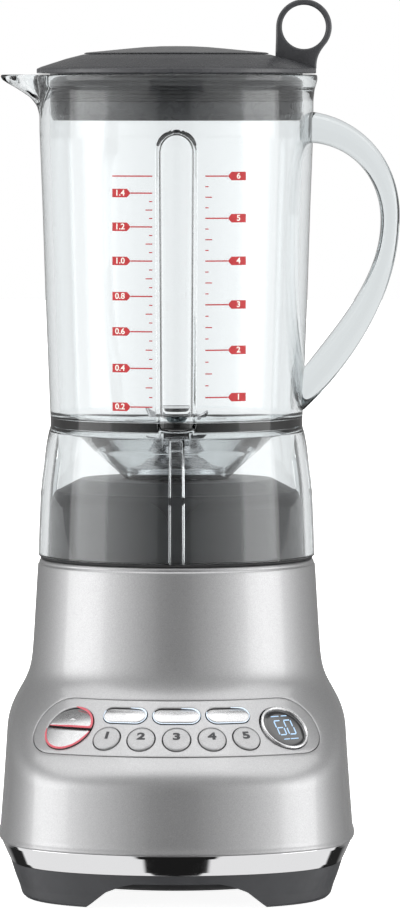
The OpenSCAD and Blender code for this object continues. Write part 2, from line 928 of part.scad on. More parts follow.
body_shell();
trim_ring();
base_pan();
bottom_cover();
rubber_feet();
base_screws();
jug_seat();
seat_gasket();
seat_screws();
interlock_switch();
control_panel();
display_bezel();
display_lens();
display_module();
control_board();
button_switches();
power_board();
cord_gland();
fan_shroud();
motor_frame_top();
motor_frame_bottom();
through_bolts();
motor_mounts();
motor_screws();
stator_core();
field_coils();
motor_bearings();
brush_holders();
carbon_brushes();
brush_springs();
motor_shaft();
armature_core();
armature_windings();
commutator();
cooling_fan();
drive_coupling();
jug();
blade_housing();
housing_seal();
retaining_nut();
spindle_bushes();
spindle_seal();
blade_spindle();
lower_blades();
upper_blades();
blade_nut();
driven_coupling();
lid_cover();
lid_seal();
measuring_cap();
button_power();
button_clean();
button_left();
button_middle();
button_right();
button_1();
button_2();
button_3();
button_4();
button_5();
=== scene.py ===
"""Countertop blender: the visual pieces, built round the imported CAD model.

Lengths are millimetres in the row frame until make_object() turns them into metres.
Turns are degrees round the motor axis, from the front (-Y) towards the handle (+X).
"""
import json
import math

import bmesh
import bpy
from mathutils import Matrix, Vector, geometry


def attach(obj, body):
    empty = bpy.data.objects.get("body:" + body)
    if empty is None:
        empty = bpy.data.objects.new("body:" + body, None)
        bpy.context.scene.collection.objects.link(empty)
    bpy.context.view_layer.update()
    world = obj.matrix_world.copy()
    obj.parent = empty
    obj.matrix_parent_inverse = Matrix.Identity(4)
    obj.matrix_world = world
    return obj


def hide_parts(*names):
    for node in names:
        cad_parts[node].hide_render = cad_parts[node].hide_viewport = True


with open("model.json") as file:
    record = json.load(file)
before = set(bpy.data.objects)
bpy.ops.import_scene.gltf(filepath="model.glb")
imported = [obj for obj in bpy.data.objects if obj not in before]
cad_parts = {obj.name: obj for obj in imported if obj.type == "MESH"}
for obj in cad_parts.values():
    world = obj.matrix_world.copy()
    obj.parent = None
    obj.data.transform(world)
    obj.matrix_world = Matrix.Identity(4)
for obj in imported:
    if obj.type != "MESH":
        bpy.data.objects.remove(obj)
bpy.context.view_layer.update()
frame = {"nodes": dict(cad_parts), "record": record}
NODES = frame["nodes"]
MM = 0.001

# ---- sizes that several pieces share ----

SHELL_BOTTOM = 28.5
BASE_HALF_D = 111.0
PANEL_SLOPE = math.radians(47)
PANEL_Z = 88.1
PANEL_HALF = 17.3
PANEL_TURN = 38.3
DIAL_TURN = 35.5
DIAL_V = -1.6
DIAL_R = 12.8
SPEED_TURN = 10.6
SPEED_V = -6.7
SPEED_R = 6.7
PROGRAM_TURN = 17.3
PROGRAM_V = 7.7
PROGRAM_H = 9.2
PROGRAM_WIDTHS = (21.8, 23.0, 21.8)

SKIRT_Z = 166.8
RIM_Z = 406.3
WALL_T = 4.5
FLUTE_HALF = 10.5
FLUTE_TOP = 379.0
FLUTE_BOTTOM = 230.0
FLUTE_DEPTH = 6.0
SPOUT_TURN = -90.0
SPOUT_HALF = 22.0

# brightness of the studio: its side softboxes, ceiling, dark front and back, the pale low
# band and the gaps in it, and what shows straight through the clear jug
BOX = 3.0
CEILING = 2.0
DARK_FRONT = 0.23
BACK = 0.28
LOW_BAND = 0.87
LOW_GAP = 0.012
LOW_BACK = 0.02
THROUGH_JUG = 1.12
# the highest level that a studio ramp holds
BRIGHTEST = 4.0

# ---- small geometry helpers ----


def lerp(a, b, t):
    return a + (b - a) * t


def smooth(t):
    t = min(max(t, 0.0), 1.0)
    return t * t * (3 - 2 * t)


def table(points, x):
    """Piecewise linear value at x through (x, value) points."""
    for (x0, v0), (x1, v1) in zip(points, points[1:]):
        if x <= x1:
            return lerp(v0, v1, max(0.0, (x - x0) / (x1 - x0)))
    return points[-1][1]


def curve_point(a, b, c, d, t):
    """A point on a cubic Bezier curve through 2-D points."""
    w = ((1 - t) ** 3, 3 * t * (1 - t) ** 2, 3 * t * t * (1 - t), t**3)
    return tuple(sum(k * p[i] for k, p in zip(w, (a, b, c, d))) for i in (0, 1))


def filleted(corners, steps=5, closed=True):
    """A polyline whose corners (x, y, radius) are rounded with arcs of steps segments."""
    out = []
    n = len(corners)
    for i, (x, y, r) in enumerate(corners):
        if r <= 0 or (not closed and i in (0, n - 1)):
            out.append((x, y))
            continue
        p = Vector((x, y))
        a = Vector(corners[i - 1][:2]) - p
        b = Vector(corners[(i + 1) % n][:2]) - p
        half = a.angle(b) / 2
        reach = min(r / math.tan(half), 0.49 * a.length, 0.49 * b.length)
        start, end = p + a.normalized() * reach, p + b.normalized() * reach
        for k in range(steps + 1):
            t = k / steps
            q = start * (1 - t) ** 2 + p * 2 * t * (1 - t) + end * t * t
            out.append((q.x, q.y))
    return out


def polar(r, turn, z):
    a = math.radians(turn)
    return Vector((r * math.sin(a), -r * math.cos(a), z))


def finish_mesh(mesh, sharp=32):
    bm = bmesh.new()
    bm.from_mesh(mesh)
    bmesh.ops.recalc_face_normals(bm, faces=bm.faces)
    bm.to_mesh(mesh)
    bm.free()
    mesh.shade_smooth()
    mesh.set_sharp_from_angle(angle=math.radians(sharp))


def make_object(name, points, faces, weld=0.0, sharp=32):
    """A mesh object from points in millimetres."""
    mesh = bpy.data.meshes.new(name)
    mesh.from_pydata([Vector(p) * MM for p in points], [], faces)
    if weld:
        bm = bmesh.new()
        bm.from_mesh(mesh)
        bmesh.ops.remove_doubles(bm, verts=bm.verts, dist=weld * MM)
        bm.to_mesh(mesh)
        bm.free()
    finish_mesh(mesh, sharp)
    obj = bpy.data.objects.new(name, mesh)
    bpy.context.scene.collection.objects.link(obj)
    return obj


def loft(loops, wrap_loops=False, wrap_points=True, caps=True):
    """Points and faces of a skin through loops of equally many points."""
    points = [p for loop in loops for p in loop]
    n = len(loops[0])
    rows = len(loops)
    faces = []
    for i in range(rows if wrap_loops else rows - 1):
        for j in range(n if wrap_points else n - 1):
            a, b = i * n + j, i * n + (j + 1) % n
            c, d = ((i + 1) % rows) * n + (j + 1) % n, ((i + 1) % rows) * n + j
            faces.append((a, b, c, d))
    if caps and not wrap_loops:
        faces.append(tuple(reversed(range(n))))
        faces.append(tuple(range((rows - 1) * n, rows * n)))
    return points, faces


def revolved(name, profile, segments=160, centre=(0, 0), sharp=32):
    """A closed (r, z) profile turned round the vertical axis through centre."""
    loops = []
    for i in range(segments):
        a = 2 * math.pi * i / segments
        loops.append([
            (centre[0] + r * math.cos(a), centre[1] + r * math.sin(a), z) for r, z in profile
        ])
    points, faces = loft(loops, wrap_loops=True)
    return make_object(name, points, faces, weld=0.001, sharp=sharp)


def joined(name, *objects):
    """One object from several, keeping each one's materials."""
    bm = bmesh.new()
    materials = []
    for obj in objects:
        mesh = evaluated(obj)
        mesh.transform(obj.matrix_world)
        offset = len(materials)
        materials += list(obj.data.materials)
        before = len(bm.faces)
        bm.from_mesh(mesh)
        bm.faces.ensure_lookup_table()
        for face in bm.faces[before:]:
            face.material_index += offset
    mesh = bpy.data.meshes.new(name)
    bm.to_mesh(mesh)
    bm.free()
    for material in materials:
        mesh.materials.append(material)
    for obj in objects:
        bpy.data.objects.remove(obj)
    out = bpy.data.objects.new(name, mesh)
    bpy.context.scene.collection.objects.link(out)
    return out


def evaluated(obj):
    """A copy of the object's mesh with its modifiers applied."""
    bpy.context.view_layer.update()
    depsgraph = bpy.context.evaluated_depsgraph_get()
    return bpy.data.meshes.new_from_object(obj.evaluated_get(depsgraph))


def combine(obj, other, operation, sharp=32):
    """Apply a boolean of other to obj, then delete other."""
    mod = obj.modifiers.new("boolean", "BOOLEAN")
    mod.operation = operation
    mod.solver = "EXACT"
    mod.object = other
    mesh = evaluated(obj)
    obj.modifiers.clear()
    obj.data = mesh
    bpy.data.objects.remove(other)
    finish_mesh(obj.data, sharp)
    return obj


def plate(name, outline, holes=(), half_t=1.0, bevel=0.3, steps=2):
    """A flat plate in the local XY plane with rounded edges, from closed 2-D outlines."""
    data = bpy.data.curves.new(name, "CURVE")
    data.dimensions = "2D"
    data.fill_mode = "BOTH"
    for loop in (outline, *holes):
        spline = data.splines.new("POLY")
        spline.points.add(len(loop) - 1)
        for point, (x, y) in zip(spline.points, loop):
            point.co = (x * MM, y * MM, 0, 1)
        spline.use_cyclic_u = True
    data.extrude = (half_t - bevel) * MM
    data.bevel_depth = bevel * MM
    data.bevel_resolution = steps
    data.offset = -bevel * MM
    obj = bpy.data.objects.new(name, data)
    bpy.context.scene.collection.objects.link(obj)
    mesh = evaluated(obj)
    bpy.data.objects.remove(obj)
    obj = bpy.data.objects.new(name, mesh)
    bpy.context.scene.collection.objects.link(obj)
    bm = bmesh.new()
    bm.from_mesh(mesh)
    bmesh.ops.remove_doubles(bm, verts=bm.verts, dist=0.01 * MM)
    bm.to_mesh(mesh)
    bm.free()
    finish_mesh(mesh, 40)
    return obj


def transform(obj, matrix):
    obj.data.transform(matrix)
    return obj


def ellipse(half_x, half_y, count=48, centre=(0, 0), start=0.0, end=360.0, close=True):
    total = count if close else count - 1
    return [
        (centre[0] + half_x * math.cos(math.radians(lerp(start, end, i / total))),
         centre[1] + half_y * math.sin(math.radians(lerp(start, end, i / total))))
        for i in range(count)
    ]


def show(obj, body, material, slot, *nodes):
    """Give a piece its material, ride it on a body and let it stand for CAD nodes; slot is not used."""
    if material is not None:
        obj.data.materials.clear()
        obj.data.materials.append(material)
    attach(obj, body)
    if nodes:
        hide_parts(*nodes)
    return obj


# ---- materials ----


class Look:
    """A Principled material whose colour, roughness and relief come from noise."""

    def __init__(self, name, color, rough, metal=0.0, **sockets):
        self.material = bpy.data.materials.new(name)
        self.material.use_nodes = True
        self.nodes = self.material.node_tree.nodes
        self.links = self.material.node_tree.links
        self.shader = self.nodes["Principled BSDF"]
        self.shader.inputs["Base Color"].default_value = (*color, 1)
        self.shader.inputs["Roughness"].default_value = rough
        self.shader.inputs["Metallic"].default_value = metal
        for socket, value in sockets.items():
            self.shader.inputs[socket.replace("_", " ")].default_value = value
        self.place = self.nodes.new("ShaderNodeTexCoord").outputs["Object"]
        self.normal = None

    def mapped(self, scale=(1, 1, 1), turn=(0, 0, 0)):
        node = self.nodes.new("ShaderNodeMapping")
        node.inputs["Scale"].default_value = scale
        node.inputs["Rotation"].default_value = turn
        self.links.new(self.place, node.inputs["Vector"])
        return node.outputs["Vector"]

    def noise(self, scale, detail=2.0, rough=0.5, place=None):
        node = self.nodes.new("ShaderNodeTexNoise")
        node.inputs["Scale"].default_value = scale
        node.inputs["Detail"].default_value = detail
        node.inputs["Roughness"].default_value = rough
        self.links.new(place or self.place, node.inputs["Vector"])
        return node.outputs["Fac"]

    def spread(self, value, low, high, source=(0.3, 0.7)):
        node = self.nodes.new("ShaderNodeMapRange")
        node.inputs["From Min"].default_value = source[0]
        node.inputs["From Max"].default_value = source[1]
        node.inputs["To Min"].default_value = low
        node.inputs["To Max"].default_value = high
        self.links.new(value, node.inputs["Value"])
        return node.outputs["Result"]

    def colors(self, value, *stops):
        node = self.nodes.new("ShaderNodeValToRGB")
        ramp = node.color_ramp
        while len(ramp.elements) < len(stops):
            ramp.elements.new(0.5)
        for element, (position, color) in zip(ramp.elements, stops):
            element.position = position
            element.color = (*color, 1)
        self.links.new(value, node.inputs["Fac"])
        self.links.new(node.outputs["Color"], self.shader.inputs["Base Color"])
        return self

    def roughness(self, value, low, high, source=(0.3, 0.7)):
        self.links.new(self.spread(value, low, high, source), self.shader.inputs["Roughness"])
        return self

    def relief(self, value, depth, strength=1.0):
        node = self.nodes.new("ShaderNodeBump")
        node.inputs["Distance"].default_value = depth * MM
        node.inputs["Strength"].default_value = strength
        self.links.new(value, node.inputs["Height"])
        if self.normal is not None:
            self.links.new(self.normal, node.inputs["Normal"])
        self.normal = node.outputs["Normal"]
        self.links.new(self.normal, self.shader.inputs["Normal"])
        return self


def shade(color, factor):
    return tuple(min(c * factor, 1.0) for c in color)


def silver_paint():
    look = Look("silver_paint", (0.40, 0.40, 0.405), 0.42, metal=0.9,
                Coat_Weight=1.0, Coat_Roughness=0.06, Coat_IOR=1.45)
    flakes = look.noise(2600, 3, 0.7)
    look.colors(flakes, (0.28, (0.33, 0.33, 0.337)), (0.5, (0.40, 0.40, 0.405)),
                (0.74, (0.49, 0.49, 0.494)))
    look.roughness(look.noise(900, 2), 0.38, 0.46)
    return look.relief(flakes, 0.008, 0.4).material


def button_silver():
    look = Look("button_silver", (0.40, 0.40, 0.405), 0.42, metal=0.6,
                Coat_Weight=0.3, Coat_Roughness=0.2)
    grain = look.noise(2200, 2, 0.6)
    look.colors(grain, (0.3, (0.34, 0.34, 0.345)), (0.7, (0.46, 0.46, 0.465)))
    look.roughness(look.noise(300, 3), 0.36, 0.46)
    return look.relief(grain, 0.008, 0.5).material


def gloss_silver():
    """The brighter, glossier caps of the program and twin buttons."""
    look = Look("gloss_silver", (0.5, 0.5, 0.505), 0.22, metal=0.9,
                Coat_Weight=0.5, Coat_Roughness=0.08)
    look.colors(look.noise(1800, 2), (0.3, (0.46, 0.46, 0.465)), (0.7, (0.54, 0.54, 0.545)))
    look.roughness(look.noise(200, 3), 0.18, 0.27)
    return look.relief(look.noise(900, 2), 0.006, 0.4).material


def chrome():
    look = Look("bright_chrome", (0.86, 0.86, 0.87), 0.05, metal=1.0)
    look.roughness(look.noise(45, 4, 0.6), 0.03, 0.09)
    return look.relief(look.noise(120, 2), 0.006, 0.25).material


def dark_plastic(name="dark_plastic", color=(0.027, 0.028, 0.031), rough=(0.38, 0.5), grain=1500):
    look = Look(name, color, 0.42)
    fine = look.noise(grain, 2, 0.6)
    look.colors(look.noise(60, 4, 0.6), (0.3, shade(color, 0.88)), (0.7, shade(color, 1.12)))
    look.roughness(look.noise(220, 3), *rough)
    return look.relief(fine, 0.003, 0.2).material


def rubber():
    look = Look("soft_rubber", (0.016, 0.016, 0.017), 0.7)
    look.colors(look.noise(90, 4), (0.3, (0.012, 0.012, 0.013)), (0.7, (0.022, 0.022, 0.023)))
    look.roughness(look.noise(400, 3), 0.6, 0.8)
    return look.relief(look.noise(1200, 3), 0.05, 0.7).material


def clear_plastic():
    look = Look("clear_plastic", (0.95, 0.965, 0.97), 0.02, IOR=1.5, Transmission_Weight=1.0)
    look.roughness(look.noise(35, 4, 0.6), 0.0, 0.035, (0.45, 0.75))
    # long paths through the plastic, as along the rim of a wall, come out grey
    absorption = look.nodes.new("ShaderNodeVolumeAbsorption")
    absorption.inputs["Color"].default_value = (0.62, 0.655, 0.665, 1)
    absorption.inputs["Density"].default_value = 45
    output = next(n for n in look.nodes if n.type == "OUTPUT_MATERIAL")
    look.links.new(absorption.outputs["Volume"], output.inputs["Volume"])
    return look.relief(look.noise(18, 2), 0.05, 0.2).material


def red_print():
    look = Look("red_print", (0.42, 0.012, 0.018), 0.45)
    look.colors(look.noise(500, 3), (0.3, (0.38, 0.010, 0.014)), (0.7, (0.46, 0.016, 0.022)))
    return look.roughness(look.noise(200, 2), 0.38, 0.52).material


def pale_print():
    look = Look("pale_print", (0.80, 0.76, 0.70), 0.5)
    look.colors(look.noise(500, 3), (0.3, (0.76, 0.71, 0.64)), (0.7, (0.86, 0.83, 0.78)))
    return look.roughness(look.noise(200, 2), 0.42, 0.55).material


def dark_print():
    look = Look("dark_print", (0.035, 0.036, 0.04), 0.5)
    look.colors(look.noise(700, 3), (0.3, (0.028, 0.028, 0.032)), (0.7, (0.045, 0.046, 0.05)))
    return look.roughness(look.noise(200, 2), 0.45, 0.55).material


def glow(name, color, strength, body=(0.6, 0.6, 0.6)):
    look = Look(name, body, 0.3, Emission_Color=(*color, 1), Emission_Strength=strength)
    look.colors(look.noise(120, 2), (0.35, shade(body, 0.9)), (0.65, body))
    return look.roughness(look.noise(60, 2), 0.25, 0.35).material


def lens_black():
    look = Look("lens_black", (0.006, 0.0065, 0.008), 0.08, Coat_Weight=1.0, Coat_Roughness=0.03)
    look.colors(look.noise(30, 3), (0.35, (0.005, 0.0055, 0.007)), (0.65, (0.008, 0.009, 0.011)))
    return look.roughness(look.noise(14, 4), 0.05, 0.12).material


def brushed_steel(name="blade_steel", along=(1, 1, 30), color=(0.62, 0.62, 0.63)):
    look = Look(name, color, 0.24, metal=1.0, Anisotropic=0.4)
    lines = look.noise(160, 4, 0.65, look.mapped(along))
    look.colors(lines, (0.3, shade(color, 0.85)), (0.7, shade(color, 1.12)))
    look.roughness(lines, 0.18, 0.34)
    return look.relief(lines, 0.01, 0.5).material


def metal(name, color, rough, grain=500, depth=0.03):
    look = Look(name, color, rough, metal=1.0)
    texture = look.noise(grain, 4, 0.6)
    look.colors(texture, (0.3, shade(color, 0.8)), (0.7, shade(color, 1.15)))
    look.roughness(look.noise(grain / 4, 3), rough * 0.85, rough * 1.2)
    return look.relief(texture, depth, 0.6).material


def laminations():
    look = Look("lamination_steel", (0.25, 0.25, 0.26), 0.45, metal=0.9)
    wave = look.nodes.new("ShaderNodeTexWave")
    wave.bands_direction = "Z"
    wave.inputs["Scale"].default_value = 320
    wave.inputs["Distortion"].default_value = 0.4
    look.links.new(look.place, wave.inputs["Vector"])
    look.colors(wave.outputs["Fac"], (0.1, (0.10, 0.10, 0.11)), (0.6, (0.30, 0.30, 0.31)))
    look.roughness(look.noise(300, 3), 0.38, 0.55)
    return look.relief(wave.outputs["Fac"], 0.05, 0.8).material


def windings():
    look = Look("copper_winding", (0.55, 0.22, 0.08), 0.3, metal=0.6,
                Coat_Weight=0.6, Coat_Roughness=0.2)
    wave = look.nodes.new("ShaderNodeTexWave")
    wave.bands_direction = "Z"
    wave.inputs["Scale"].default_value = 260
    wave.inputs["Distortion"].default_value = 3
    look.links.new(look.place, wave.inputs["Vector"])
    look.colors(wave.outputs["Fac"], (0.1, (0.22, 0.07, 0.02)), (0.6, (0.62, 0.27, 0.10)))
    look.roughness(look.noise(200, 2), 0.25, 0.4)
    return look.relief(wave.outputs["Fac"], 0.12, 0.9).material


def circuit_board():
    look = Look("circuit_board", (0.01, 0.09, 0.035), 0.25, Coat_Weight=0.5, Coat_Roughness=0.1)
    look.colors(look.noise(260, 2, 0.2), (0.46, (0.008, 0.07, 0.028)), (0.5, (0.02, 0.15, 0.06)))
    look.roughness(look.noise(90, 3), 0.2, 0.32)
    return look.relief(look.noise(260, 1), 0.03, 0.5).material


MATERIALS = {
    "silver_paint": silver_paint(),
    "button_plastic": button_silver(),
    "gloss_button": gloss_silver(),
    "satin_bezel": metal("satin_bezel", (0.74, 0.74, 0.745), 0.26, 900, 0.01),
    "bright_chrome": chrome(),
    "dark_plastic": dark_plastic(),
    "lid_plastic": dark_plastic("lid_plastic", (0.050, 0.051, 0.055), (0.24, 0.32), 1100),
    "black_plastic": dark_plastic("black_plastic", (0.012, 0.012, 0.013), (0.4, 0.55), 900),
    "black_rubber": rubber(),
    "seal_rubber": dark_plastic("seal_rubber", (0.05, 0.05, 0.053), (0.45, 0.6), 900),
    "clear_plastic": clear_plastic(),
    "smoke_plastic": dark_plastic("smoke_plastic", (0.075, 0.076, 0.08), (0.14, 0.22), 700),
    "lens_plastic": lens_black(),
    "steel": brushed_steel(),
    "lamination_steel": laminations(),
    "die_cast": metal("die_cast", (0.5, 0.5, 0.51), 0.45, 380, 0.08),
    "copper": windings(),
    "bronze": metal("bronze", (0.55, 0.38, 0.18), 0.42, 600, 0.03),
    "circuit_board": circuit_board(),
    "carbon": metal("carbon", (0.03, 0.03, 0.032), 0.55, 800, 0.03),
    "red_print": red_print(),
    "pale_print": pale_print(),
    "dark_print": dark_print(),
    "red_light": glow("red_light", (0.80, 0.12, 0.16), 0.2, (0.52, 0.085, 0.11)),
    "blue_light": glow("blue_light", (0.72, 0.86, 1.0), 0.3, (0.70, 0.80, 0.92)),
    "digit_light": glow("digit_light", (0.50, 0.72, 1.0), 0.75, (0.2, 0.3, 0.4)),
}


def paint_cad_nodes():
    """Every carried-over CAD node gets the material of its record slot."""
    slots = {s["node"]: s["material_slot"] for s in frame["record"]["subparts"]}
    for name, obj in NODES.items():
        obj.data.materials.clear()
        obj.data.materials.append(MATERIALS[slots[name]])


# ---- base: the housing's surface ----


def neck_at(z):
    return 69.2 + (164 - z) * 0.06


def flare_at(z):
    return neck_at(z) + (1 / math.tan(PANEL_SLOPE) - 0.06) * 4 * math.log1p(math.exp((106.5 - z) / 4))


def body_radius(turn, z):
    """The housing: a round neck that flares out, then rounds over into a bowed front and flat sides."""
    across = abs(math.sin(math.radians(turn)))
    half_w = 86.1 + 0.0725 * (78 - z) + 0.00029 * (78 - z) ** 2
    plan = (BASE_HALF_D**-8 + (across / half_w) ** 8) ** -0.125
    flare = flare_at(z)
    blend = 5 + 6 * across**2
    return min(flare, plan) - max(blend - abs(flare - plan), 0) ** 2 / (4 * blend)


def body_point(turn, z, lift=0.0):
    p = polar(body_radius(turn, z), turn, z)
    if lift:
        p += body_normal(turn, z) * lift
    return p


def body_normal(turn, z):
    e = 0.2
    across = polar(body_radius(turn + e, z), turn + e, z) - polar(body_radius(turn - e, z), turn - e, z)
    up = polar(body_radius(turn, z + e), turn, z + e) - polar(body_radius(turn, z - e), turn, z - e)
    return across.cross(up).normalized()


def panel_place(turn, v, u=0.0):
    """(turn, z) of a point u mm across and v mm up the slope from a centre at turn."""
    z = PANEL_Z + v * math.sin(PANEL_SLOPE)
    return turn + math.degrees(u / body_radius(turn, z)), z


def panel_outline(margin, count=26):
    """The panel's edge as (turn, z): a band round the slope with round ends."""
    half = PANEL_HALF + margin
    out = []
    for side in (1, -1):
        for i in range(count + 1):
            a = math.radians(-90 + 180 * i / count)
            out.append(panel_place(side * PANEL_TURN, side * half * math.sin(a),
                                   side * half * math.cos(a)))
        for i in range(1, 2 * count):
            out.append(panel_place(side * PANEL_TURN * (1 - i / count), side * half))
    return out


def circle_outline(margin, turn, v, radius, count=56):
    return [panel_place(turn, v + y, x) for x, y in ellipse(radius + margin, radius + margin, count)]


def pill_outline(margin, turn, v, width, height=PROGRAM_H, count=16):
    """A pill with straight top and bottom, traced anticlockwise."""
    r = height / 2 + margin
    x = (width - height) / 2
    out = []
    for side in (1, -1):
        for px, py in ellipse(r, r, count + 1, start=-90, end=90, close=False):
            out.append(panel_place(turn, v + side * py, side * (x + px)))
        for i in range(1, 6):
            out.append(panel_place(turn, v + side * r, side * x * (1 - i / 3)))
    return out


def half_outline(margin, side, radius=DIAL_R, split=0.75, corner=1.0):
    """Upper (side 1) or lower (side -1) half of the twin round button."""
    r = radius + margin
    cut = split - margin
    x = math.sqrt(r * r - cut * cut)
    arc = ellipse(r, r, 37, start=math.degrees(math.asin(cut / r)) + 3.5,
                  end=177.5 - math.degrees(math.asin(cut / r)) - 1, close=False)
    loop = [(-x + corner, cut)] + [(x * t, cut) for t in (-0.6, -0.3, 0.0, 0.3, 0.6)]
    loop += [(x - corner, cut), (x - corner * 0.3, cut + corner * 0.3)] + arc
    loop += [(-x + corner * 0.3, cut + corner * 0.3)]
    return [panel_place(-DIAL_TURN, DIAL_V + side * py, side * px) for px, py in loop]


def inside(outline, point):
    x, y = point
    hit = False
    for (x0, y0), (x1, y1) in zip(outline, outline[1:] + outline[:1]):
        if (y0 > y) != (y1 > y) and x < (x1 - x0) * (y - y0) / (y1 - y0) + x0:
            hit = not hit
    return hit


def patch(points, rims, outer, holes):
    """Triangles over points and rim loops, inside outer (if given) and outside the holes."""
    coords = list(points)
    edges = []
    for loop in rims:
        first = len(coords)
        coords += loop
        edges += [(first + i, first + (i + 1) % len(loop)) for i in range(len(loop))]
    result = geometry.delaunay_2d_cdt([Vector(p) for p in coords], edges, [], 0, 1e-6)
    verts, faces = result[0], result[2]
    keep = []
    for face in faces:
        centre = sum((verts[i] for i in face), Vector((0, 0))) / len(face)
        if outer and not inside(outer, centre):
            continue
        if not any(inside(hole, centre) for hole in holes):
            keep.append(tuple(face))
    return [tuple(v) for v in verts], keep


def lip(mapper, outline, sides):
    """Loops that round an edge over and down: sides are (margin, depth) from the surface."""
    loops = [[mapper(t, z, -depth) for t, z in outline(margin)] for margin, depth in sides]
    return loft(loops, caps=False)


def merge_parts(name, parts, weld=0.004, sharp=40):
    points, faces = [], []
    for part_points, part_faces in parts:
        offset = len(points)
        points += part_points
        faces += [tuple(i + offset for i in f) for f in part_faces]
    return make_object(name, points, faces, weld=weld, sharp=sharp)


OUTER_LIP = ((0.55, 0.0), (0.3, 0.05), (0.12, 0.22), (0.08, 0.6), (0.08, 2.6))
INNER_LIP = ((-0.55, 0.0), (-0.3, 0.05), (-0.16, 0.22), (-0.12, 0.6), (-0.12, 2.6))


def grid_points(turns, heights, keep_off):
    """Grid points of a patch, without those inside or on a loop in keep_off."""
    return [(t, z) for t in turns for z in heights if not any(inside(loop, (t, z)) for loop in keep_off)]


def body_shell():
    """The silver housing, with a real opening where the control panel sits."""
    front = 60.0
    low, high = 66.0, 111.0
    step = 1.5
    turns = [i * step - front for i in range(int(2 * front / step) + 1)]
    heights = [low + i * step for i in range(int((high - low) / step) + 1)]
    seam = panel_outline(0.55)
    inner_grid = grid_points(turns, heights, [panel_outline(1.1)])
    verts, faces = patch(inner_grid, [seam], None, [seam])
    parts = [([body_point(t, z) for t, z in verts], faces)]
    parts.append(lip(body_point, panel_outline, OUTER_LIP))
    # the rest of the surface, on the same grid
    around = [front + i * step for i in range(int((360 - 2 * front) / step) + 1)]
    parts.append(loft([[body_point(t, z) for t in around] for z in heights],
                      wrap_points=False, caps=False))
    full = turns[:-1] + around[:-1]
    below = [31.5 + i * 1.5 for i in range(24)]
    above = [high + i * 1.5 for i in range(35)]
    parts.append(loft([[body_point(t, z) for t in full] for z in below], caps=False))
    parts.append(loft([[body_point(t, z) for t in full] for z in above], caps=False))

    def ring(z, offset, at=None):
        return [polar(body_radius(t, at or z) + offset, t, z) for t in full]

    bottom = [ring(31.5, 0), ring(30.4, 0.25), ring(29.6, 0.55), ring(29.0, 0.6), ring(28.6, 0.4),
              ring(28.5, 0.0), ring(28.5, -3.0), ring(31.0, -3.2)]
    top = [ring(162.0, 0), ring(162.5, -0.12), ring(162.8, -0.55), ring(163.1, -0.7),
           ring(163.5, -0.55), ring(164.2, -0.75), ring(164.9, -1.3), ring(165.3, -2.0),
           ring(165.5, -3.0), ring(165.5, -6.5), ring(163.2, -6.6)]
    parts.append(loft(bottom, caps=False))
    parts.append(loft(top, caps=False))
    obj = merge_parts("body_shell_skin", parts)
    return show(obj, "base", MATERIALS["silver_paint"], "silver_paint", "body_shell")


def panel_holes(margin):
    """Every opening in the panel, as outlines grown by margin."""
    holes = [circle_outline(margin, i * SPEED_TURN, SPEED_V, SPEED_R) for i in range(-2, 3)]
    holes += [pill_outline(margin, i * PROGRAM_TURN, PROGRAM_V, w)
              for i, w in zip((-1, 0, 1), PROGRAM_WIDTHS)]
    holes += [circle_outline(margin, side * DIAL_TURN, DIAL_V, DIAL_R) for side in (-1, 1)]
    return holes


def control_panel():
    rim_margin = 0.85
    edge = panel_outline(-0.55)
    rims = panel_holes(rim_margin)
    step_turn, step_z = 0.9, 0.9
    turns = [i * step_turn - 54 for i in range(int(108 / step_turn) + 1)]
    heights = [PANEL_Z - 14 + i * step_z for i in range(int(28 / step_z) + 1)]
    limit = panel_outline(-0.95)
    inner = [p for p in grid_points(turns, heights, panel_holes(rim_margin + 0.35)) if inside(limit, p)]
    verts, faces = patch(inner, [edge] + rims, edge, rims)
    parts = [([body_point(t, z) for t, z in verts], faces)]
    parts.append(lip(body_point, panel_outline, INNER_LIP))
    hole_lip = ((rim_margin, 0.0), (0.62, 0.05), (0.46, 0.2), (0.42, 0.5), (0.42, 2.4))
    for index in range(len(rims)):
        parts.append(lip(body_point, lambda m, k=index: panel_holes(m)[k], hole_lip))
    obj = merge_parts("control_panel_skin", parts)
    return show(obj, "base", MATERIALS["silver_paint"], "silver_paint", "control_panel")


def pad(name, outline, centre, heights, inner=(0.86, 0.66, 0.44, 0.22), lean=0.0, lean_z=0.0):
    """A pressable cap that follows the slope: heights are (margin, height) from its edge inwards.

    Above the level lean_z its face leans back, ever more towards its upper edge.
    """
    def at(t, z, h):
        return body_point(t, z, h - (lean * max(0.0, z - lean_z) ** 2 if h > 0 else 0.0))

    loops = [[at(t, z, h) for t, z in outline(margin)] for margin, h in heights]
    last_margin, top = heights[-1]
    ct, cz = centre
    for k in inner:
        loops.append([at(lerp(ct, t, k), lerp(cz, z, k), top) for t, z in outline(last_margin)])
    points, faces = loft(loops, caps=False)
    points.append(body_point(ct, cz, top))
    n = len(loops[0])
    first = len(points) - 1 - n
    faces += [(first + i, first + (i + 1) % n, len(points) - 1) for i in range(n)]
    return make_object(name, points, faces, weld=0.002, sharp=40)


CAP_RINGS = (0.93, 0.85, 0.76, 0.66, 0.55, 0.44, 0.33, 0.22, 0.11)
CAP_EDGE = ((0.0, -3.6), (0.0, 0.1), (-0.06, 0.35), (-0.22, 0.55), (-0.5, 0.66), (-1.0, 0.7))


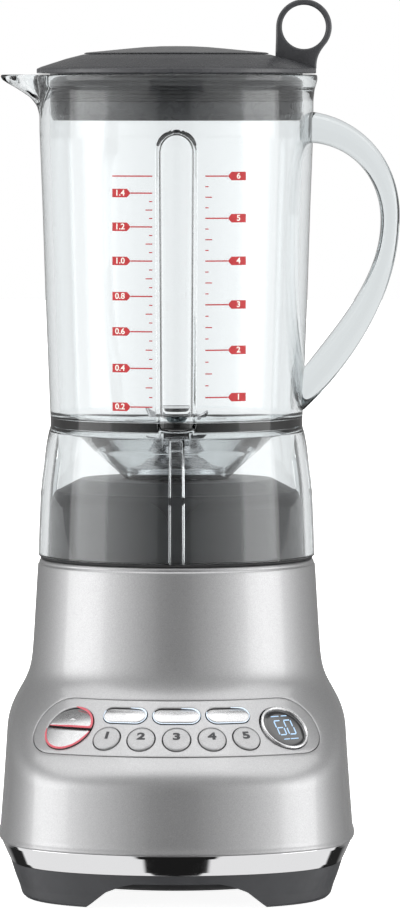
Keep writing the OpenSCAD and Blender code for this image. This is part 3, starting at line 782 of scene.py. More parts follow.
def strip(name, outline, margin, width, height, first, count):
    """A narrow raised line along count points of an outline, thinned out towards both ends."""
    outer = outline(margin)
    inner = outline(margin - width)
    picked = [(first + i) % len(outer) for i in range(count)]
    outer, inner = [outer[k] for k in picked], [inner[k] for k in picked]
    for i in range(count):
        full = smooth(min(i + 1.5, count - i + 0.5) / 5)
        inner[i] = tuple(lerp(a, b, full) for a, b in zip(outer[i], inner[i]))
    low = height - 0.35
    loops = [
        [body_point(t, z, low) for t, z in outer],
        [body_point(t, z, height) for t, z in outer],
        [body_point(t, z, height) for t, z in inner],
        [body_point(t, z, low) for t, z in inner],
    ]
    rows = [[loop[i] for loop in loops] for i in range(len(outer))]
    return make_object(name, *loft(rows), sharp=30)


def printed(name, text, size, mapper, bold=0.0, stretch=1.0):
    """Digits as a thin mesh, centred on (0, 0) and laid on a surface by mapper(x, y, height)."""
    data = bpy.data.curves.new(name, "FONT")
    data.body = text
    data.size = size * MM
    data.align_x = "CENTER"
    data.align_y = "CENTER"
    data.offset = bold * MM
    data.resolution_u = 4
    data.extrude = 0.02 * MM
    source = bpy.data.objects.new(name, data)
    bpy.context.scene.collection.objects.link(source)
    mesh = evaluated(source)
    bpy.data.objects.remove(source)
    bm = bmesh.new()
    bm.from_mesh(mesh)
    bmesh.ops.triangulate(bm, faces=bm.faces)
    bmesh.ops.subdivide_edges(bm, edges=[e for e in bm.edges if e.calc_length() > 0.8 * MM], cuts=1)
    for vert in bm.verts:
        p = vert.co / MM
        vert.co = mapper(p.x * stretch, p.y, p.z) * MM
    bm.to_mesh(mesh)
    bm.free()
    obj = bpy.data.objects.new(name, mesh)
    bpy.context.scene.collection.objects.link(obj)
    return obj


def on_panel(turn, v, height):
    """A mapper that lays flat x, y coordinates on the slope round a centre."""
    def place(x, y, z):
        t, level = panel_place(turn, v + y, x)
        return body_point(t, level, height + z)
    return place


def buttons():
    for i in range(5):
        turn = (i - 2) * SPEED_TURN
        body = f"button_{i + 1}_key"
        cap = pad(f"speed_cap_{i + 1}", lambda m, t=turn: circle_outline(m, t, SPEED_V, SPEED_R),
                  panel_place(turn, SPEED_V), CAP_EDGE)
        show(cap, body, MATERIALS["button_plastic"], "button_plastic", f"button_{i + 1}")
        digit = printed(f"speed_digit_{i + 1}", str(i + 1), 5.6, on_panel(turn, SPEED_V + 1.4, 0.72),
                        0.28, 1.4)
        show(digit, body, MATERIALS["dark_print"], "button_plastic")
    for i, (where, width) in enumerate(zip(("left", "middle", "right"), PROGRAM_WIDTHS)):
        turn = (i - 1) * PROGRAM_TURN
        body = f"button_{where}_key"

        def outline(margin, t=turn, w=width):
            return pill_outline(margin, t, PROGRAM_V, w)

        cap = pad(f"program_cap_{where}", outline, panel_place(turn, PROGRAM_V), CAP_EDGE, CAP_RINGS,
                  0.06, panel_place(turn, PROGRAM_V - 1.3)[1])
        show(cap, body, MATERIALS["gloss_button"], "button_plastic", f"button_{where}")
        light = strip(f"program_light_{where}", outline, 0.12, 0.62, 0.5, 27, 36)
        show(light, body, MATERIALS["blue_light"], "button_plastic")
    for side, name in ((1, "power"), (-1, "clean")):
        body = f"button_{name}_key"

        def half(margin, s=side):
            return half_outline(margin, s)

        centre = panel_place(-DIAL_TURN, DIAL_V + side * 5.6)
        cap = pad(f"{name}_cap", half, centre, CAP_EDGE, CAP_RINGS, 0.022,
                  panel_place(0, DIAL_V + (1.5 if side > 0 else -2.5))[1])
        show(cap, body, MATERIALS["gloss_button"], "button_plastic", f"button_{name}")
        # red along the split and up the right of the upper half, round the arc of the lower one
        light = strip(f"{name}_light", half, 0.25, 1.05, 0.74, *((0, 28) if side > 0 else (8, 37)))
        show(light, body, MATERIALS["red_light"], "button_plastic")


def dial_mapper(height=0.0):
    """Flat mapper for the right dial: x across, y up the slope, on its own plane."""
    turn, z = panel_place(DIAL_TURN, DIAL_V)
    centre = body_point(turn, z)
    normal = body_normal(turn, z)
    across = Vector((math.cos(math.radians(turn)), math.sin(math.radians(turn)), 0))
    across = (across - normal * across.dot(normal)).normalized()
    up = normal.cross(across)

    def place(x, y, h):
        return centre + across * x + up * y + normal * (h + height)
    return place


SEGMENTS = {
    # name: (centre x, centre y, along x?) on a digit 1 wide and 2 high
    "top": (0.0, 1.0, True), "middle": (0.0, 0.0, True), "bottom": (0.0, -1.0, True),
    "upper_left": (-0.5, 0.5, False), "upper_right": (0.5, 0.5, False),
    "lower_left": (-0.5, -0.5, False), "lower_right": (0.5, -0.5, False),
}
DIGITS = {
    "6": ("top", "middle", "bottom", "upper_left", "lower_left", "lower_right"),
    "0": ("top", "bottom", "upper_left", "upper_right", "lower_left", "lower_right"),
}


def display():
    place = dial_mapper()
    bezel_profile = filleted([
        (DIAL_R, -4.4, 0.2), (DIAL_R, 0.7, 0.7), (DIAL_R - 0.9, 1.15, 0.5), (DIAL_R - 1.5, 0.3, 0.3),
        (DIAL_R - 1.5, -4.4, 0.2),
    ], 4)
    rows = []
    for i in range(96):
        a = 2 * math.pi * i / 96
        rows.append([place(r * math.cos(a), r * math.sin(a), h) for r, h in bezel_profile])
    bezel = make_object("display_bezel_ring", *loft(rows, wrap_loops=True), sharp=35)
    show(bezel, "base", MATERIALS["satin_bezel"], "bright_chrome", "display_bezel")
    lens_r = DIAL_R - 1.55
    loops = []
    for r, h in ((lens_r, -2.0), (lens_r, 0.1), (lens_r - 0.25, 0.3), (lens_r * 0.75, 0.42),
                 (lens_r * 0.5, 0.5), (lens_r * 0.25, 0.55), (0.02, 0.56)):
        loops.append([place(r * x, r * y, h) for x, y in ellipse(1, 1, 72)])
    lens = make_object("display_lens_dome", *loft(loops), weld=0.001, sharp=50)
    show(lens, "base", MATERIALS["lens_plastic"], "lens_plastic", "display_lens")
    # two seven-segment digits and a few plain status bars, just above the dome
    half_w, half_h, half_t, height = 2.0, 2.15, 0.3, 0.66
    parts = []

    def bar(x, y, long_half, thin_half, upright):
        tip = min(thin_half, long_half)
        loop = [(-long_half, 0), (-long_half + tip, thin_half), (long_half - tip, thin_half),
                (long_half, 0), (long_half - tip, -thin_half), (-long_half + tip, -thin_half)]
        if upright:
            loop = [(-q, p) for p, q in loop]
        slant = 0.08
        low = [place(x + p + slant * q, y + q, height - 0.35) for p, q in loop]
        top = [place(x + p + slant * q, y + q, height) for p, q in loop]
        parts.append(loft([low, top]))

    for digit, cx in (("6", -2.9), ("0", 2.9)):
        for segment in DIGITS[digit]:
            sx, sy, flat = SEGMENTS[segment]
            bar(cx + sx * 2 * half_w, sy * 2 * half_h, (half_w if flat else half_h) - 0.2, half_t, not flat)
    for x, y, length in ((-2.8, 7.0, 2.4), (2.6, 7.0, 1.8), (-2.2, -7.0, 1.8), (2.4, -7.0, 2.4)):
        bar(x, y, length, 0.2, False)
    digits = merge_parts("display_digits", parts, weld=0.0, sharp=30)
    show(digits, "base", MATERIALS["digit_light"], "lens_plastic")


# ---- base: ring, pan and gland ----


def plan_loop(inset, z, count=288):
    """The base's plan outline, inset by a distance."""
    out = []
    for i in range(count):
        turn = 360 * i / count
        out.append(polar(body_radius(turn, SHELL_BOTTOM) - inset, turn, z))
    return out


def trim_ring():
    profile = filleted([
        (1.2, 28.45, 0.1), (0.5, 28.2, 0.5), (1.0, 26.6, 1.0), (4.3, 19.6, 1.5), (5.2, 18.0, 0.5),
        (8.0, 18.0, 0.2), (4.0, 28.45, 0.1),
    ], 5)
    loops = [plan_loop(inset, z) for inset, z in profile]
    obj = make_object("trim_ring_band", *loft(loops, wrap_loops=True), sharp=35)
    return show(obj, "base", MATERIALS["bright_chrome"], "bright_chrome", "trim_ring")


def arch_cutter(name, half_w, turned):
    """A long prism with the outline of the arch between two legs, its corners rounded."""
    outline = filleted([
        (-half_w - 4.5, -3, 0), (half_w + 4.5, -3, 0), (half_w - 2.0, 2.6, 6), (half_w - 9.5, 9.0, 7),
        (half_w - 17, 12.2, 4), (half_w - 23, 13.6, 6), (23 - half_w, 13.6, 6), (17 - half_w, 12.2, 4),
        (9.5 - half_w, 9.0, 7), (2.0 - half_w, 2.6, 6),
    ], 5)
    loops = []
    for y in (-130, 130):
        loops.append([(-y, x, z) if turned else (x, y, z) for x, z in outline])
    return make_object(name, *loft(loops))


def base_pan():
    outside = filleted([
        (5.2, 17.95, 0.3), (7.4, 11.3, 12), (9.0, 6.5, 8), (9.8, 2.4, 3), (11.6, 0.8, 0.6),
    ], 5, closed=False)
    loops = [plan_loop(inset, z, 240) for inset, z in outside]
    loops = [plan_loop(9.0, 17.95, 240)] + loops
    skin = make_object("base_pan_tray", *loft(loops), sharp=35)
    hollow = make_object("pan_hollow", *loft([plan_loop(9.0, 19, 240), plan_loop(12.0, 15.5, 240)]))
    combine(skin, hollow, "DIFFERENCE")
    combine(skin, arch_cutter("front_arch", 44, False), "DIFFERENCE")
    combine(skin, arch_cutter("side_arch", 50, True), "DIFFERENCE")
    well = revolved("pan_well", [(0.01, 6.3), (66.2, 6.3), (66.2, 13.0), (42, 13.0), (42, 20),
                                 (0.01, 20)], 96)
    combine(skin, well, "DIFFERENCE")
    for x in (-52.5, 52.5):
        for y in (-58.5, 58.5):
            hole = revolved("foot_hole", [(0.01, 0.5), (4.7, 0.5), (4.7, 8), (2.2, 8), (2.2, 30), (0.01, 30)],
                            32, (x, y))
            combine(skin, hole, "DIFFERENCE")
    return show(skin, "base", MATERIALS["dark_plastic"], "dark_plastic", "base_pan")


def bottom_cover():
    """The round black cover in the middle of the tray, with a ring of air slots."""
    profile = filleted([(0.01, 5.7, 0), (65.0, 5.7, 0), (66.0, 6.7, 0.8), (66.0, 12.9, 0.2),
                        (63.5, 12.9, 0.2), (63.5, 8.4, 0.8), (0.01, 8.4, 0)], 4)
    cover = revolved("bottom_cover_dish", profile, 160)
    for i in range(18):
        slot = filleted([(20, -2, 1.9), (42, -2, 1.9), (42, 2, 1.9), (20, 2, 1.9)], 4)
        cutter = make_object("slot", *loft([[(x, y, z) for x, y in slot] for z in (4, 11)]))
        transform(cutter, Matrix.Rotation(math.radians(20 * i), 4, "Z"))
        combine(cover, cutter, "DIFFERENCE")
    return show(cover, "base", MATERIALS["black_plastic"], "black_plastic", "bottom_cover")


def rubber_feet():
    profile = filleted([
        (0.01, 5.0, 0), (4.3, 5.0, 0.4), (4.3, 1.5, 0.2), (8.0, 1.5, 0.3), (8.0, 0.5, 0.4),
        (7.4, 0.0, 0.3), (6.0, 0.0, 0.1), (5.6, 0.35, 0.1), (0.01, 0.35, 0),
    ], 3)
    pads = [revolved("pad", profile, 48, (x, y)) for x in (-52.5, 52.5) for y in (-58.5, 58.5)]
    obj = joined("rubber_foot_pads", *pads)
    finish_mesh(obj.data, 35)
    return show(obj, "base", MATERIALS["black_rubber"], "black_rubber", "rubber_feet")


# ---- jug ----

SKIRT_OUTER = [(166.8, 69.0), (180, 68.6), (192, 68.1), (198, 67.8), (204, 67.3), (210, 66.5),
               (216, 65.8), (222, 65.0), (228, 63.9), (230.6, 63.1)]
WALL_OUTER = [(231.5, 62.95), (234, 62.9), (240, 63.2), (294, 65.3), (342, 66.8), (378, 68.2),
              (388, 68.25), (394, 68.3), (399, 68.9), (402.5, 70.0), (404, 70.2)]


def spout_reach(z):
    """How far the spout's tip stands out of the wall at a height."""
    return table([(386.0, 0.0), (390.7, 1.2), (395, 4.4), (398.4, 9.0), (401.8, 14.0), (404.4, 17.3),
                  (406.3, 17.4)], z)


def spout_at(turn, z, radius):
    away = (turn - SPOUT_TURN + 180) % 360 - 180
    across = abs(math.radians(away)) * radius
    reach = spout_reach(z)
    half = lerp(7.0, SPOUT_HALF, smooth((z - 386) / 18))
    if across >= half or reach <= 0:
        return 0.0
    t = 1 - across / half
    # a beak with a rounded nose and sides that blend into the wall
    return reach * (1.25 * t * t / (t * t + 0.25)) * min(1.0, t * 1.6 + 0.1)


def flute_at(turn, z, radius):
    """Depth of the nearer flute at a point of the wall, 0 to 1."""
    away = abs((turn + 90) % 180 - 90) if abs(math.cos(math.radians(turn))) > 0.5 else 90
    across = math.radians(away) * radius
    above = max(0.0, z - (FLUTE_TOP - FLUTE_HALF))
    below = max(0.0, (FLUTE_BOTTOM + 3.5) - z) * 2.4
    q = math.hypot(across, above, below) / FLUTE_HALF
    if q >= 1:
        return 0.0
    return (1 - q * q) ** 0.7 * smooth((1 - q) / 0.16)


def key_at(turn, z, radius):
    """The four keys inside the skirt: a narrow rib with a pointed top."""
    away = abs((turn + 45) % 90 - 45)
    across = math.radians(away) * radius
    half = 3.3 * min(1.0, max(0.0, (227.0 - z) / 7.0))
    return smooth((half - across) / 0.7 + 0.5) if half > 0.3 else 0.0


def jug_profile():
    """The wall's cross-section: (r, z, kind) round the loop, where kind says what bends it."""
    out = [(r, z, "skirt_out") for z, r in SKIRT_OUTER]
    dense = [231.0 + i * 0.9 for i in range(8)] + [239 + i * 3.1 for i in range(40)]
    dense += [361 + i * 1.2 for i in range(6)] + [368 + i * 0.55 for i in range(22)]
    dense += [381 + i * 1.3 for i in range(18)]
    out += [(table(WALL_OUTER, z), z, "wall_out") for z in dense if z < 403.9]
    rim = filleted([(70.2, 403.6, 0), (70.2, RIM_Z, 1.1), (64.6, RIM_Z, 0.9), (63.9, 402.5, 0)], 4,
                   closed=False)
    out += [(r, z, "wall_out" if r > 67.5 else "wall_in") for r, z in rim]
    inner = [z for z in reversed(dense) if 237 < z < 402]
    for z in inner:
        out.append((min(table(WALL_OUTER, z) - WALL_T, 63.6), z, "wall_in"))
    bowl_in = filleted([(58.8, 238.6, 0), (57.6, 235.6, 3), (45.5, 227.8, 20), (37, 221.8, 20),
                        (25.0, 210.6, 4), (23.8, 208.5, 0.4), (20, 208.5, 0.2), (20, 203.6, 0.2),
                        (24, 203.6, 0.4), (39.6, 217.2, 20), (53.2, 228.0, 20), (57.6, 231.2, 2.5),
                        (59.9, 227.5, 2), (61.6, 216, 10)], 5, closed=False)
    out += [(r, z, "skirt_in" if r > 59 and z < 229 else "plain") for r, z in bowl_in]
    skirt_in = [(61.6, 216), (61.9, 213), (62.3, 210), (63.1, 204), (63.6, 198), (63.9, 192), (64.4, 180),
                (64.8, 170), (64.9, 167.2)]
    out += [(r, z, "skirt_in") for r, z in skirt_in[1:]]
    out += [(65.5, SKIRT_Z, "plain"), (68.4, SKIRT_Z, "plain")]
    return out


def jug_turns():
    """Turns round the jug, close together at the flutes, the keys and the spout."""
    turns = set()
    for i in range(-120, 120):
        turns.add(round(i * 1.5, 3))
    for centre in (-180, 0, 180):
        for i in range(-28, 29):
            turns.add(round(centre + i * 0.35, 3))
    for centre in (-90, 90):
        for i in range(-9, 10):
            turns.add(round(centre + i * 0.5, 3))
    for i in range(-24, 25):
        turns.add(round(SPOUT_TURN + i * 0.9, 3))
    kept = []
    for turn in sorted(t for t in turns if -180 <= t < 180):
        if not kept or turn - kept[-1] > 0.2:
            kept.append(turn)
    return kept


def jug_body():
    profile = jug_profile()
    loops = []
    for turn in jug_turns():
        loop = []
        for r, z, kind in profile:
            radius = r
            if kind in ("wall_out", "wall_in"):
                radius -= FLUTE_DEPTH * flute_at(turn, z, 66)
                radius += spout_at(turn, z, 68)
            if kind == "skirt_out":
                radius -= FLUTE_DEPTH * flute_at(turn, z, 66)
            if kind == "skirt_in":
                radius -= 3.4 * key_at(turn, z, 64)
            loop.append(polar(radius, turn, z))
        loops.append(loop)
    return make_object("jug_moulding", *loft(loops, wrap_loops=True), sharp=38)


def handle():
    """The handle swept between its outer and inner contours with a soft D section."""
    steps = 26
    outer_top = ((64.5, 388.2), (92, 386), (111.5, 364), (111.3, 336))
    outer_low = ((111.3, 336), (111.3, 300), (91, 264), (61.0, 237.0))
    inner_top = ((64.5, 372.5), (86, 372.5), (101.9, 356), (101.9, 334))
    inner_low = ((101.9, 334), (101.9, 306), (82, 284), (63.5, 260.0))
    pairs = [(curve_point(*outer_top, i / steps), curve_point(*inner_top, i / steps))
             for i in range(steps)]
    pairs += [(curve_point(*outer_low, i / steps), curve_point(*inner_low, i / steps))
              for i in range(steps + 1)]
    half_w = 11.0
    loops = []
    for outer, inner in pairs:
        loop = []
        for c, s in ellipse(1, 1, 40):
            # a rounded box: nearly flat on the inside, crowned on the outside
            power = 0.62 if c > 0 else 0.42
            x = math.copysign(abs(c) ** power, c)
            y = math.copysign(abs(s) ** 0.6, s)
            t = (x + 1) / 2
            loop.append((lerp(inner[0], outer[0], t), half_w * y, lerp(inner[1], outer[1], t)))
        loops.append(loop)
    return make_object("jug_handle", *loft(loops), sharp=50)


def jug():
    body = jug_body()
    grip = handle()
    combine(body, grip, "UNION", 38)
    body.name = "jug_moulding"
    return show(body, "jug", MATERIALS["clear_plastic"], "clear_plastic", "jug")


def on_wall(x, z, height):
    """A point on the jug's front wall at x across and z up."""
    radius = table(WALL_OUTER, z) + height
    return Vector((x, -math.sqrt(radius * radius - x * x), z))


def wall_shape(outline, height, thick=0.06, columns=6):
    """A flat shape printed on the front wall, following its curve."""
    xs = [p[0] for p in outline]
    low_x, high_x = min(xs), max(xs)
    loops = []
    for i in range(columns + 1):
        x = lerp(low_x + 1e-4, high_x - 1e-4, i / columns)
        hits = []
        for (x0, z0), (x1, z1) in zip(outline, outline[1:] + outline[:1]):
            if (x0 - x) * (x1 - x) <= 0 and x0 != x1:
                hits.append(z0 + (z1 - z0) * (x - x0) / (x1 - x0))
        low, high = min(hits), max(hits)
        loops.append([on_wall(x, low, height), on_wall(x, high, height),
                      on_wall(x, high, height - thick), on_wall(x, low, height - thick)])
    return loft(loops)


def scale_marks():
    """The printed volume marks: litres at the left of the flute, cups at its right."""
    litres = {1.4: 348.3, 1.2: 331.8, 1.0: 315.1, 0.8: 297.8, 0.6: 280.5, 0.4: 262.5, 0.2: 243.5}
    cups = {6: 356.6, 5: 336.0, 4: 315.1, 3: 293.7, 2: 271.4, 1: 248.2}
    top_line = 356.6
    line_half = 0.32
    tag_half = 2.1
    parts = []

    def line(x0, x1, z, half=line_half):
        parts.append(wall_shape([(x0, z - half), (x1, z - half), (x1, z + half), (x0, z + half)], 0.09))

    # each side's tick start, tag point, tag shoulder and tag end, from the flute outwards
    sides = {-1: (11.8, 22.5, 24.0, 31.4), 1: (14.1, 25.2, 26.8, 34.0)}
    numbers = []
    for marks, side in ((litres, -1), (cups, 1)):
        start, point, near, far = sides[side]
        for value, z in marks.items():
            shape = [(far, -tag_half), (near, -tag_half), (point, 0), (near, tag_half), (far, tag_half)]
            parts.append(wall_shape([(side * x, z + dz) for x, dz in shape], 0.09, columns=10))
            line(*sorted((side * point, side * start)), z)

            def lay(x, y, h, middle=side * (near + far) / 2, level=z):
                return on_wall(middle + x, level + y, 0.13 + h)

            text = f"{value:.1f}" if side < 0 else str(value)
            numbers.append(printed(f"number_{text}", text, 4.0, lay, 0.08))
        levels = sorted(marks.values())
        for low, high in zip(levels, levels[1:]):
            for k in range(1, 4):
                reach = start + (3.3 if k == 2 else 1.6)
                line(*sorted((side * start, side * reach)), lerp(low, high, k / 4), 0.26)
    line(-31.4, -11.8, top_line)
    print_red = merge_parts("scale_marks", parts, weld=0.0)
    show(print_red, "jug", MATERIALS["red_print"], "clear_plastic")
    numbers = joined("scale_numbers", *numbers)
    show(numbers, "jug", MATERIALS["pale_print"], "clear_plastic")


# ---- lid and measuring cap ----


def lid():
    top = filleted([
        (36.2, 412.0, 0), (36.2, 416.3, 0.5), (46.5, 416.3, 4), (54.8, 414.2, 20), (62.0, 411.9, 20),
        (67.2, 410.2, 3), (69.6, 409.2, 0.8), (69.6, 406.9, 0.5), (63.0, 406.8, 0.3),
        (62.6, 405.2, 0.2), (61.4, 405.1, 0.1), (61.4, 392.9, 0.1), (62.6, 392.8, 0.2),
        (62.4, 386.5, 0.8), (61.4, 383.6, 0.5), (59.6, 383.6, 0.5),
        (59.6, 405.4, 1.5), (56.0, 408.0, 3), (39.0, 410.0, 2), (38.6, 388.0, 0.5), (36.2, 388.0, 0.5),
    ], 5)
    cover = revolved("lid_top", top, 200, sharp=36)
    ring_x, ring_z = 63.5, 430.0
    outer_r, hole_r = 13.8, 10.97
    outline = ellipse(outer_r, outer_r, 44, (ring_x, ring_z), -38, 180, close=False)
    outline += [(49.6, 424.0), (49.4, 418.0), (49.3, 411.5), (69.2, 408.0)]
    outline += [curve_point((69.7, 409.6), (69.6, 414.5), (71.0, 417.5), outline[0], t / 8)
                for t in range(8)]
    ring = plate("finger_ring", outline, [ellipse(hole_r, hole_r, 56, (ring_x, ring_z))], 4.0, 1.1, 4)
    transform(ring, Matrix.Rotation(math.pi / 2, 4, "X"))
    obj = joined("lid_with_ring", cover, ring)
    show(obj, "lid", MATERIALS["lid_plastic"], "dark_plastic", "lid_cover")
    ribs = [(61.45, 393.0)]
    for i in range(6):
        z = 393.1 + i * 2.0
        ribs += [(62.45, z), (63.05, z + 0.5), (63.05, z + 1.3), (62.45, z + 1.8)]
    ribs += [(61.45, 405.0)]
    seal = revolved("lid_seal_ring", ribs, 160, sharp=30)
    show(seal, "lid", MATERIALS["seal_rubber"], "black_rubber", "lid_seal")


def measuring_cap():
    profile = filleted([
        (0.01, 420.5, 0), (8, 420.4, 8), (16, 420.0, 8), (26, 419.1, 8), (36, 418.1, 8), (44.8, 417.3, 2),
        (46.0, 416.9, 0.2),
        (45.8, 416.5, 0.2), (36.0, 416.45, 0.3), (35.0, 414.0, 0.5), (34.6, 400, 3), (34.2, 385.2, 0.5),
        (32.4, 385.2, 0.5), (32.8, 400, 3), (33.0, 412.5, 2), (31.5, 416.6, 2), (0.01, 417.5, 0),
    ], 5)
    obj = revolved("measuring_cap_dome", profile, 160, sharp=36)
    return show(obj, "cap", MATERIALS["smoke_plastic"], "smoke_plastic", "measuring_cap")


# ---- blades ----


def wing(reach, root, rise_deg, drop, length_bend, half_chord=6.2, thick=1.5, tip_skew=3.0):
    """One blade wing along +X: flat at the root, bent to an angle, with a ground leading edge."""
    stations = 16
    loops = []
    bend = math.radians(rise_deg)
    x, z, angle = 0.0, 0.0, 0.0
    previous = 0.0
    for i in range(stations + 1):
        s = (root + reach) * i / stations
        angle = bend * smooth((s - root) / length_bend)
        x += (s - previous) * math.cos(angle)
        z += (s - previous) * math.sin(angle)
        previous = s
        t = i / stations
        half = half_chord * lerp(1.0, 0.62, t)
        lead = -half + (tip_skew + half) * smooth((t - 0.8) / 0.2) * 0.8
        trail = half - 1.2 * t
        up = Vector((-math.sin(angle), 0, math.cos(angle))) * (thick / 2)
        at = Vector((x, 0, z + drop))
        edge = lerp(lead, trail, 0.38)
        loop = []
        for y, h in ((lead, 0.08), (edge, 1.0), (trail - 0.2, 1.0), (trail, 0.7),
                     (trail, -0.7), (trail - 0.2, -1.0), (edge, -1.0), (lead, -0.9)):
            loop.append(at + Vector((0, y, 0)) + up * h)
        loops.append(loop)
    return loft(loops)


def blade_set(name, node, z, turn, reach, rise, length_bend):
    hub = revolved("hub", filleted([(4.0, z, 0.1), (9.2, z, 0.3), (9.2, z + 1.5, 0.3),
                                    (4.0, z + 1.5, 0.1)], 3), 64)
    pieces = [hub]
    for side in (0, 180):
        points, faces = wing(reach, 9.0, rise, z + 0.75, length_bend)
        spin = Matrix.Rotation(math.radians(turn + side), 4, "Z")
        points = [spin @ Vector(p) for p in points]
        points = [p for p in points]
        pieces.append(make_object("wing", points, faces, sharp=25))
    for piece in pieces[1:]:
        mask = revolved("bore", [(0.01, z - 6), (4.0, z - 6), (4.0, z + 8), (0.01, z + 8)], 48)
        combine(piece, mask, "DIFFERENCE", 25)
    obj = joined(name, *pieces)
    return show(obj, "blade_unit", MATERIALS["steel"], "steel", node)


def blades():
    blade_set("lower_blade_pair", "lower_blades", 224.0, 35, 24, 7, 6)
    blade_set("upper_blade_pair", "upper_blades", 226.5, 125, 19, 44, 5)
    nut = filleted([(4.0, 228.6, 0.1), (7.6, 228.6, 0.2), (7.6, 229.4, 0.2), (6.4, 229.6, 0.2),
                    (6.4, 232.6, 0.6), (5.2, 233.4, 0.8), (4.0, 233.5, 0.1)], 4)
    obj = revolved("blade_lock_nut", nut, 64)
    hexagon = []
    for z in (229.5, 234.5):
        hexagon.append([polar(6.9, a, z) for a in range(0, 360, 60)])
    hexed = make_object("hexagon", *loft(hexagon), sharp=20)
    plain = revolved("nut_foot", [(4.0, 228.0), (9, 228.0), (9, 229.5), (4.0, 229.5)], 64)
    combine(hexed, plain, "UNION", 20)
    combine(obj, hexed, "INTERSECT", 25)
    show(obj, "blade_unit", MATERIALS["steel"], "steel", "blade_nut")


def blade_seat():
    """The steel housing in the jug's floor and the ribbed collar that clamps it from below."""
    housing = filleted([
        (8.0, 188.6, 0.2), (19.6, 188.6, 0.3), (19.6, 210.0, 0.1), (23.4, 210.0, 0.2),
        (23.4, 212.8, 0.7), (20.6, 213.5, 0.6), (17.5, 214.6, 3), (12.0, 219.0, 2.5), (10.8, 221.0, 0.7),
        (5.4, 221.0, 0.5), (4.4, 220.4, 0.2), (4.4, 216.5, 0.1), (8.0, 216.5, 0.1),
    ], 5)
    obj = revolved("blade_housing_dome", housing, 128)
    show(obj, "jug", MATERIALS["steel"], "steel", "blade_housing")
    rows = []
    profile = filleted([(19.7, 188.6, 0.3), (23.0, 188.6, 0.8), (23.0, 203.5, 0.6), (19.7, 203.5, 0.3)], 4)
    for i in range(240):
        a = 2 * math.pi * i / 240
        groove = 0.8 * max(0.0, math.cos(12 * a)) ** 3
        row = []
        for r, z in profile:
            depth = groove * smooth((201.0 - z) / 2.5) if r > 21 else 0.0
            row.append(((r - depth) * math.cos(a), (r - depth) * math.sin(a), z))
        rows.append(row)
    nut = make_object("retaining_collar", *loft(rows, wrap_loops=True), sharp=35)
    show(nut, "jug", MATERIALS["black_plastic"], "dark_plastic", "retaining_nut")


# ---- stage, lights and camera ----


def area_light(name, size_x, size_y, power, place, target, color=(1, 1, 1)):
    light = bpy.data.lights.new(name, "AREA")
    light.shape = "RECTANGLE"
    light.size = size_x
    light.size_y = size_y
    light.energy = power
    light.color = color
    obj = bpy.data.objects.new(name, light)
    obj.location = place
    obj.rotation_euler = (Vector(target) - Vector(place)).to_track_quat("-Z", "Y").to_euler()
    bpy.context.scene.collection.objects.link(obj)
    return obj


def stage():
    """A pale floor that runs into a pale studio with no horizon."""
    floor = bpy.data.meshes.new("floor")
    floor.from_pydata([(-9, -9, 0), (9, -9, 0), (9, 9, 0), (-9, 9, 0)], [], [(0, 1, 2, 3)])
    obj = bpy.data.objects.new("floor", floor)
    bpy.context.scene.collection.objects.link(obj)
    look = Look("pale_floor", (0.86, 0.86, 0.86), 0.6, Specular_IOR_Level=0.0,
                Emission_Color=(1, 1, 1, 1), Emission_Strength=0.9)
    look.colors(look.noise(3, 3), (0.3, (0.85, 0.85, 0.85)), (0.7, (0.88, 0.88, 0.88)))
    # seen through the clear jug it is as pale as the studio behind, so no edge shows there
    path = look.nodes.new("ShaderNodeLightPath")
    pale = look.nodes.new("ShaderNodeEmission")
    pale.inputs["Strength"].default_value = THROUGH_JUG
    mix = look.nodes.new("ShaderNodeMixShader")
    output = next(n for n in look.nodes if n.type == "OUTPUT_MATERIAL")
    look.links.new(output.inputs["Surface"].links[0].from_socket, mix.inputs[1])
    look.links.new(path.outputs["Is Transmission Ray"], mix.inputs["Fac"])
    look.links.new(pale.outputs["Emission"], mix.inputs[2])
    look.links.new(mix.outputs["Shader"], output.inputs["Surface"])
    floor.materials.append(look.material)
    # the studio below the horizon, not the floor, is what glossy parts mirror
    obj.visible_glossy = False


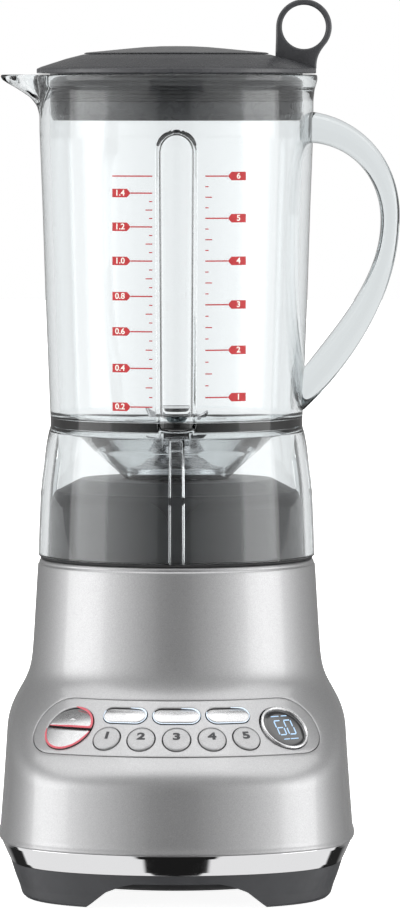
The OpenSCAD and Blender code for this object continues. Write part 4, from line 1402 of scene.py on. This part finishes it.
def soft_studio():
    """The studio round the object: softboxes at both sides, a bright ceiling and a dark front."""
    world = bpy.data.worlds.new("studio")
    bpy.context.scene.world = world
    world.use_nodes = True
    nodes, links = world.node_tree.nodes, world.node_tree.links
    background = nodes["Background"]

    def math_node(operation, a, b=0.0):
        node = nodes.new("ShaderNodeMath")
        node.operation = operation
        for socket, value in zip(node.inputs, (a, b)):
            if isinstance(value, (int, float)):
                socket.default_value = value
            else:
                links.new(value, socket)
        return node.outputs["Value"]

    def levels(value, stops, scale=1.0):
        """A level that runs through (place, level) stops."""
        ramp = nodes.new("ShaderNodeValToRGB")
        elements = ramp.color_ramp.elements
        while len(elements) < len(stops):
            elements.new(0.5)
        for element, (place, level) in zip(elements, stops):
            element.position = place
            element.color = (level / scale, level / scale, level / scale, 1)
        links.new(value, ramp.inputs["Fac"])
        return math_node("MULTIPLY", ramp.outputs["Color"], scale)

    def mixed(share, a, b):
        return math_node("ADD", math_node("MULTIPLY", a, math_node("SUBTRACT", 1.0, share)),
                         math_node("MULTIPLY", b, share))

    split = nodes.new("ShaderNodeSeparateXYZ")
    links.new(nodes.new("ShaderNodeTexCoord").outputs["Generated"], split.inputs["Vector"])
    x, y, z = split.outputs
    # turn from the front (0.5), to the left (0.25) and to the right (0.75)
    turn = math_node("ADD", math_node("MULTIPLY", math_node("ARCTAN2", x, math_node("MULTIPLY", y, -1.0)),
                                      0.5 / math.pi), 0.5)

    def both(left, right):
        """Stops for (degrees from the front, level) pairs to the left and to the right."""
        return [(0.5 - a / 360, v) for a, v in reversed(left)] + [(0.5 + a / 360, v) for a, v in right]

    high = levels(turn, both(
        [(15, DARK_FRONT), (17, 0.55), (40, 1.2), (61, 1.8), (63, BOX), (100, BOX), (102, 1.0),
         (125, 0.5), (150, BACK)],
        [(11, DARK_FRONT), (13, 0.5), (40, 1.05), (58, 1.6), (60, BOX), (95, BOX), (97, 1.2),
         (122, 0.55), (150, BACK)]), BRIGHTEST)
    band = [(23, LOW_GAP), (24.5, LOW_BAND), (134, LOW_BAND), (137, LOW_BACK)]
    low = levels(turn, both(band, band), BRIGHTEST)
    upper = [(10, 0.35), (60, 0.7), (100, 0.3)]
    dim = levels(turn, both(upper, upper), BRIGHTEST)
    # height: 0 straight down, 0.5 at the horizon, 1 straight up
    height = math_node("ADD", math_node("MULTIPLY", z, 0.5), 0.5)
    light = mixed(levels(height, [(0.36, 1.0), (0.40, 0.0)]), high, low)
    light = mixed(levels(height, [(0.60, 0.0), (0.72, 1.0)]), light, dim)
    # the overhead softbox, in its own plane: aside across it, ahead towards the front
    above = math_node("MAXIMUM", z, 0.05)
    aside = math_node("ABSOLUTE", math_node("DIVIDE", x, above))
    ahead = math_node("DIVIDE", math_node("MULTIPLY", y, -1.0), above)
    back_edge = math_node("ADD", ahead, math_node("MULTIPLY", aside, 0.35))
    overhead = levels(height, [(0.58, 0.0), (0.66, 1.0)])
    for edge in (levels(ahead, [(0.48, 1.0), (0.72, 0.0)]),
                 levels(math_node("MULTIPLY", aside, 0.5), [(0.60, 1.0), (0.85, 0.0)]),
                 levels(math_node("ADD", back_edge, 0.5), [(0.36, 0.0), (0.46, 1.0)])):
        overhead = math_node("MULTIPLY", overhead, edge)
    light = mixed(overhead, light, levels(aside, [(0.05, CEILING * 0.68), (0.4, CEILING)], BRIGHTEST))
    # straight through the clear jug is plain white; what it bends aside meets dark panels
    path = nodes.new("ShaderNodeLightPath")
    depth = math_node("ADD", math_node("MULTIPLY", y, 0.5), 0.5)
    through = levels(depth, [(0.58, 0.16), (0.78, 0.25), (0.90, THROUGH_JUG)], BRIGHTEST)
    through = mixed(levels(math_node("ABSOLUTE", z), [(0.45, 0.0), (0.62, 1.0)]), through, 0.85)
    bent = math_node("MULTIPLY", path.outputs["Is Transmission Ray"],
                     levels(depth, [(0.54, 0.0), (0.60, 1.0)]))
    light = mixed(bent, light, through)
    light = mixed(path.outputs["Is Camera Ray"], light, 1.0)
    links.new(light, background.inputs["Strength"])
    background.inputs["Color"].default_value = (1, 1, 1, 1)


def camera():
    data = bpy.data.cameras.new("photo_camera")
    data.sensor_fit = "VERTICAL"
    data.sensor_height = 36
    data.lens = 246
    obj = bpy.data.objects.new("photo_camera", data)
    obj.location = (0, -3.1, 0.395)
    aim = Vector((0.01175, 0, 0.21675))
    obj.rotation_euler = (aim - obj.location).to_track_quat("-Z", "Y").to_euler()
    bpy.context.scene.collection.objects.link(obj)
    bpy.context.scene.camera = obj


def render_look():
    scene = bpy.context.scene
    scene.view_settings.view_transform = "Standard"
    scene.cycles.max_bounces = 24
    scene.cycles.transmission_bounces = 20
    scene.cycles.transparent_max_bounces = 16


paint_cad_nodes()
body_shell()
control_panel()
buttons()
display()
trim_ring()
base_pan()
bottom_cover()
rubber_feet()
jug()
scale_marks()
lid()
measuring_cap()
blades()
blade_seat()
stage()
soft_studio()
area_light("top_softbox", 1.2, 1.0, 3, (0, -0.2, 1.9), (0, 0, 0.2))
camera()
render_look()
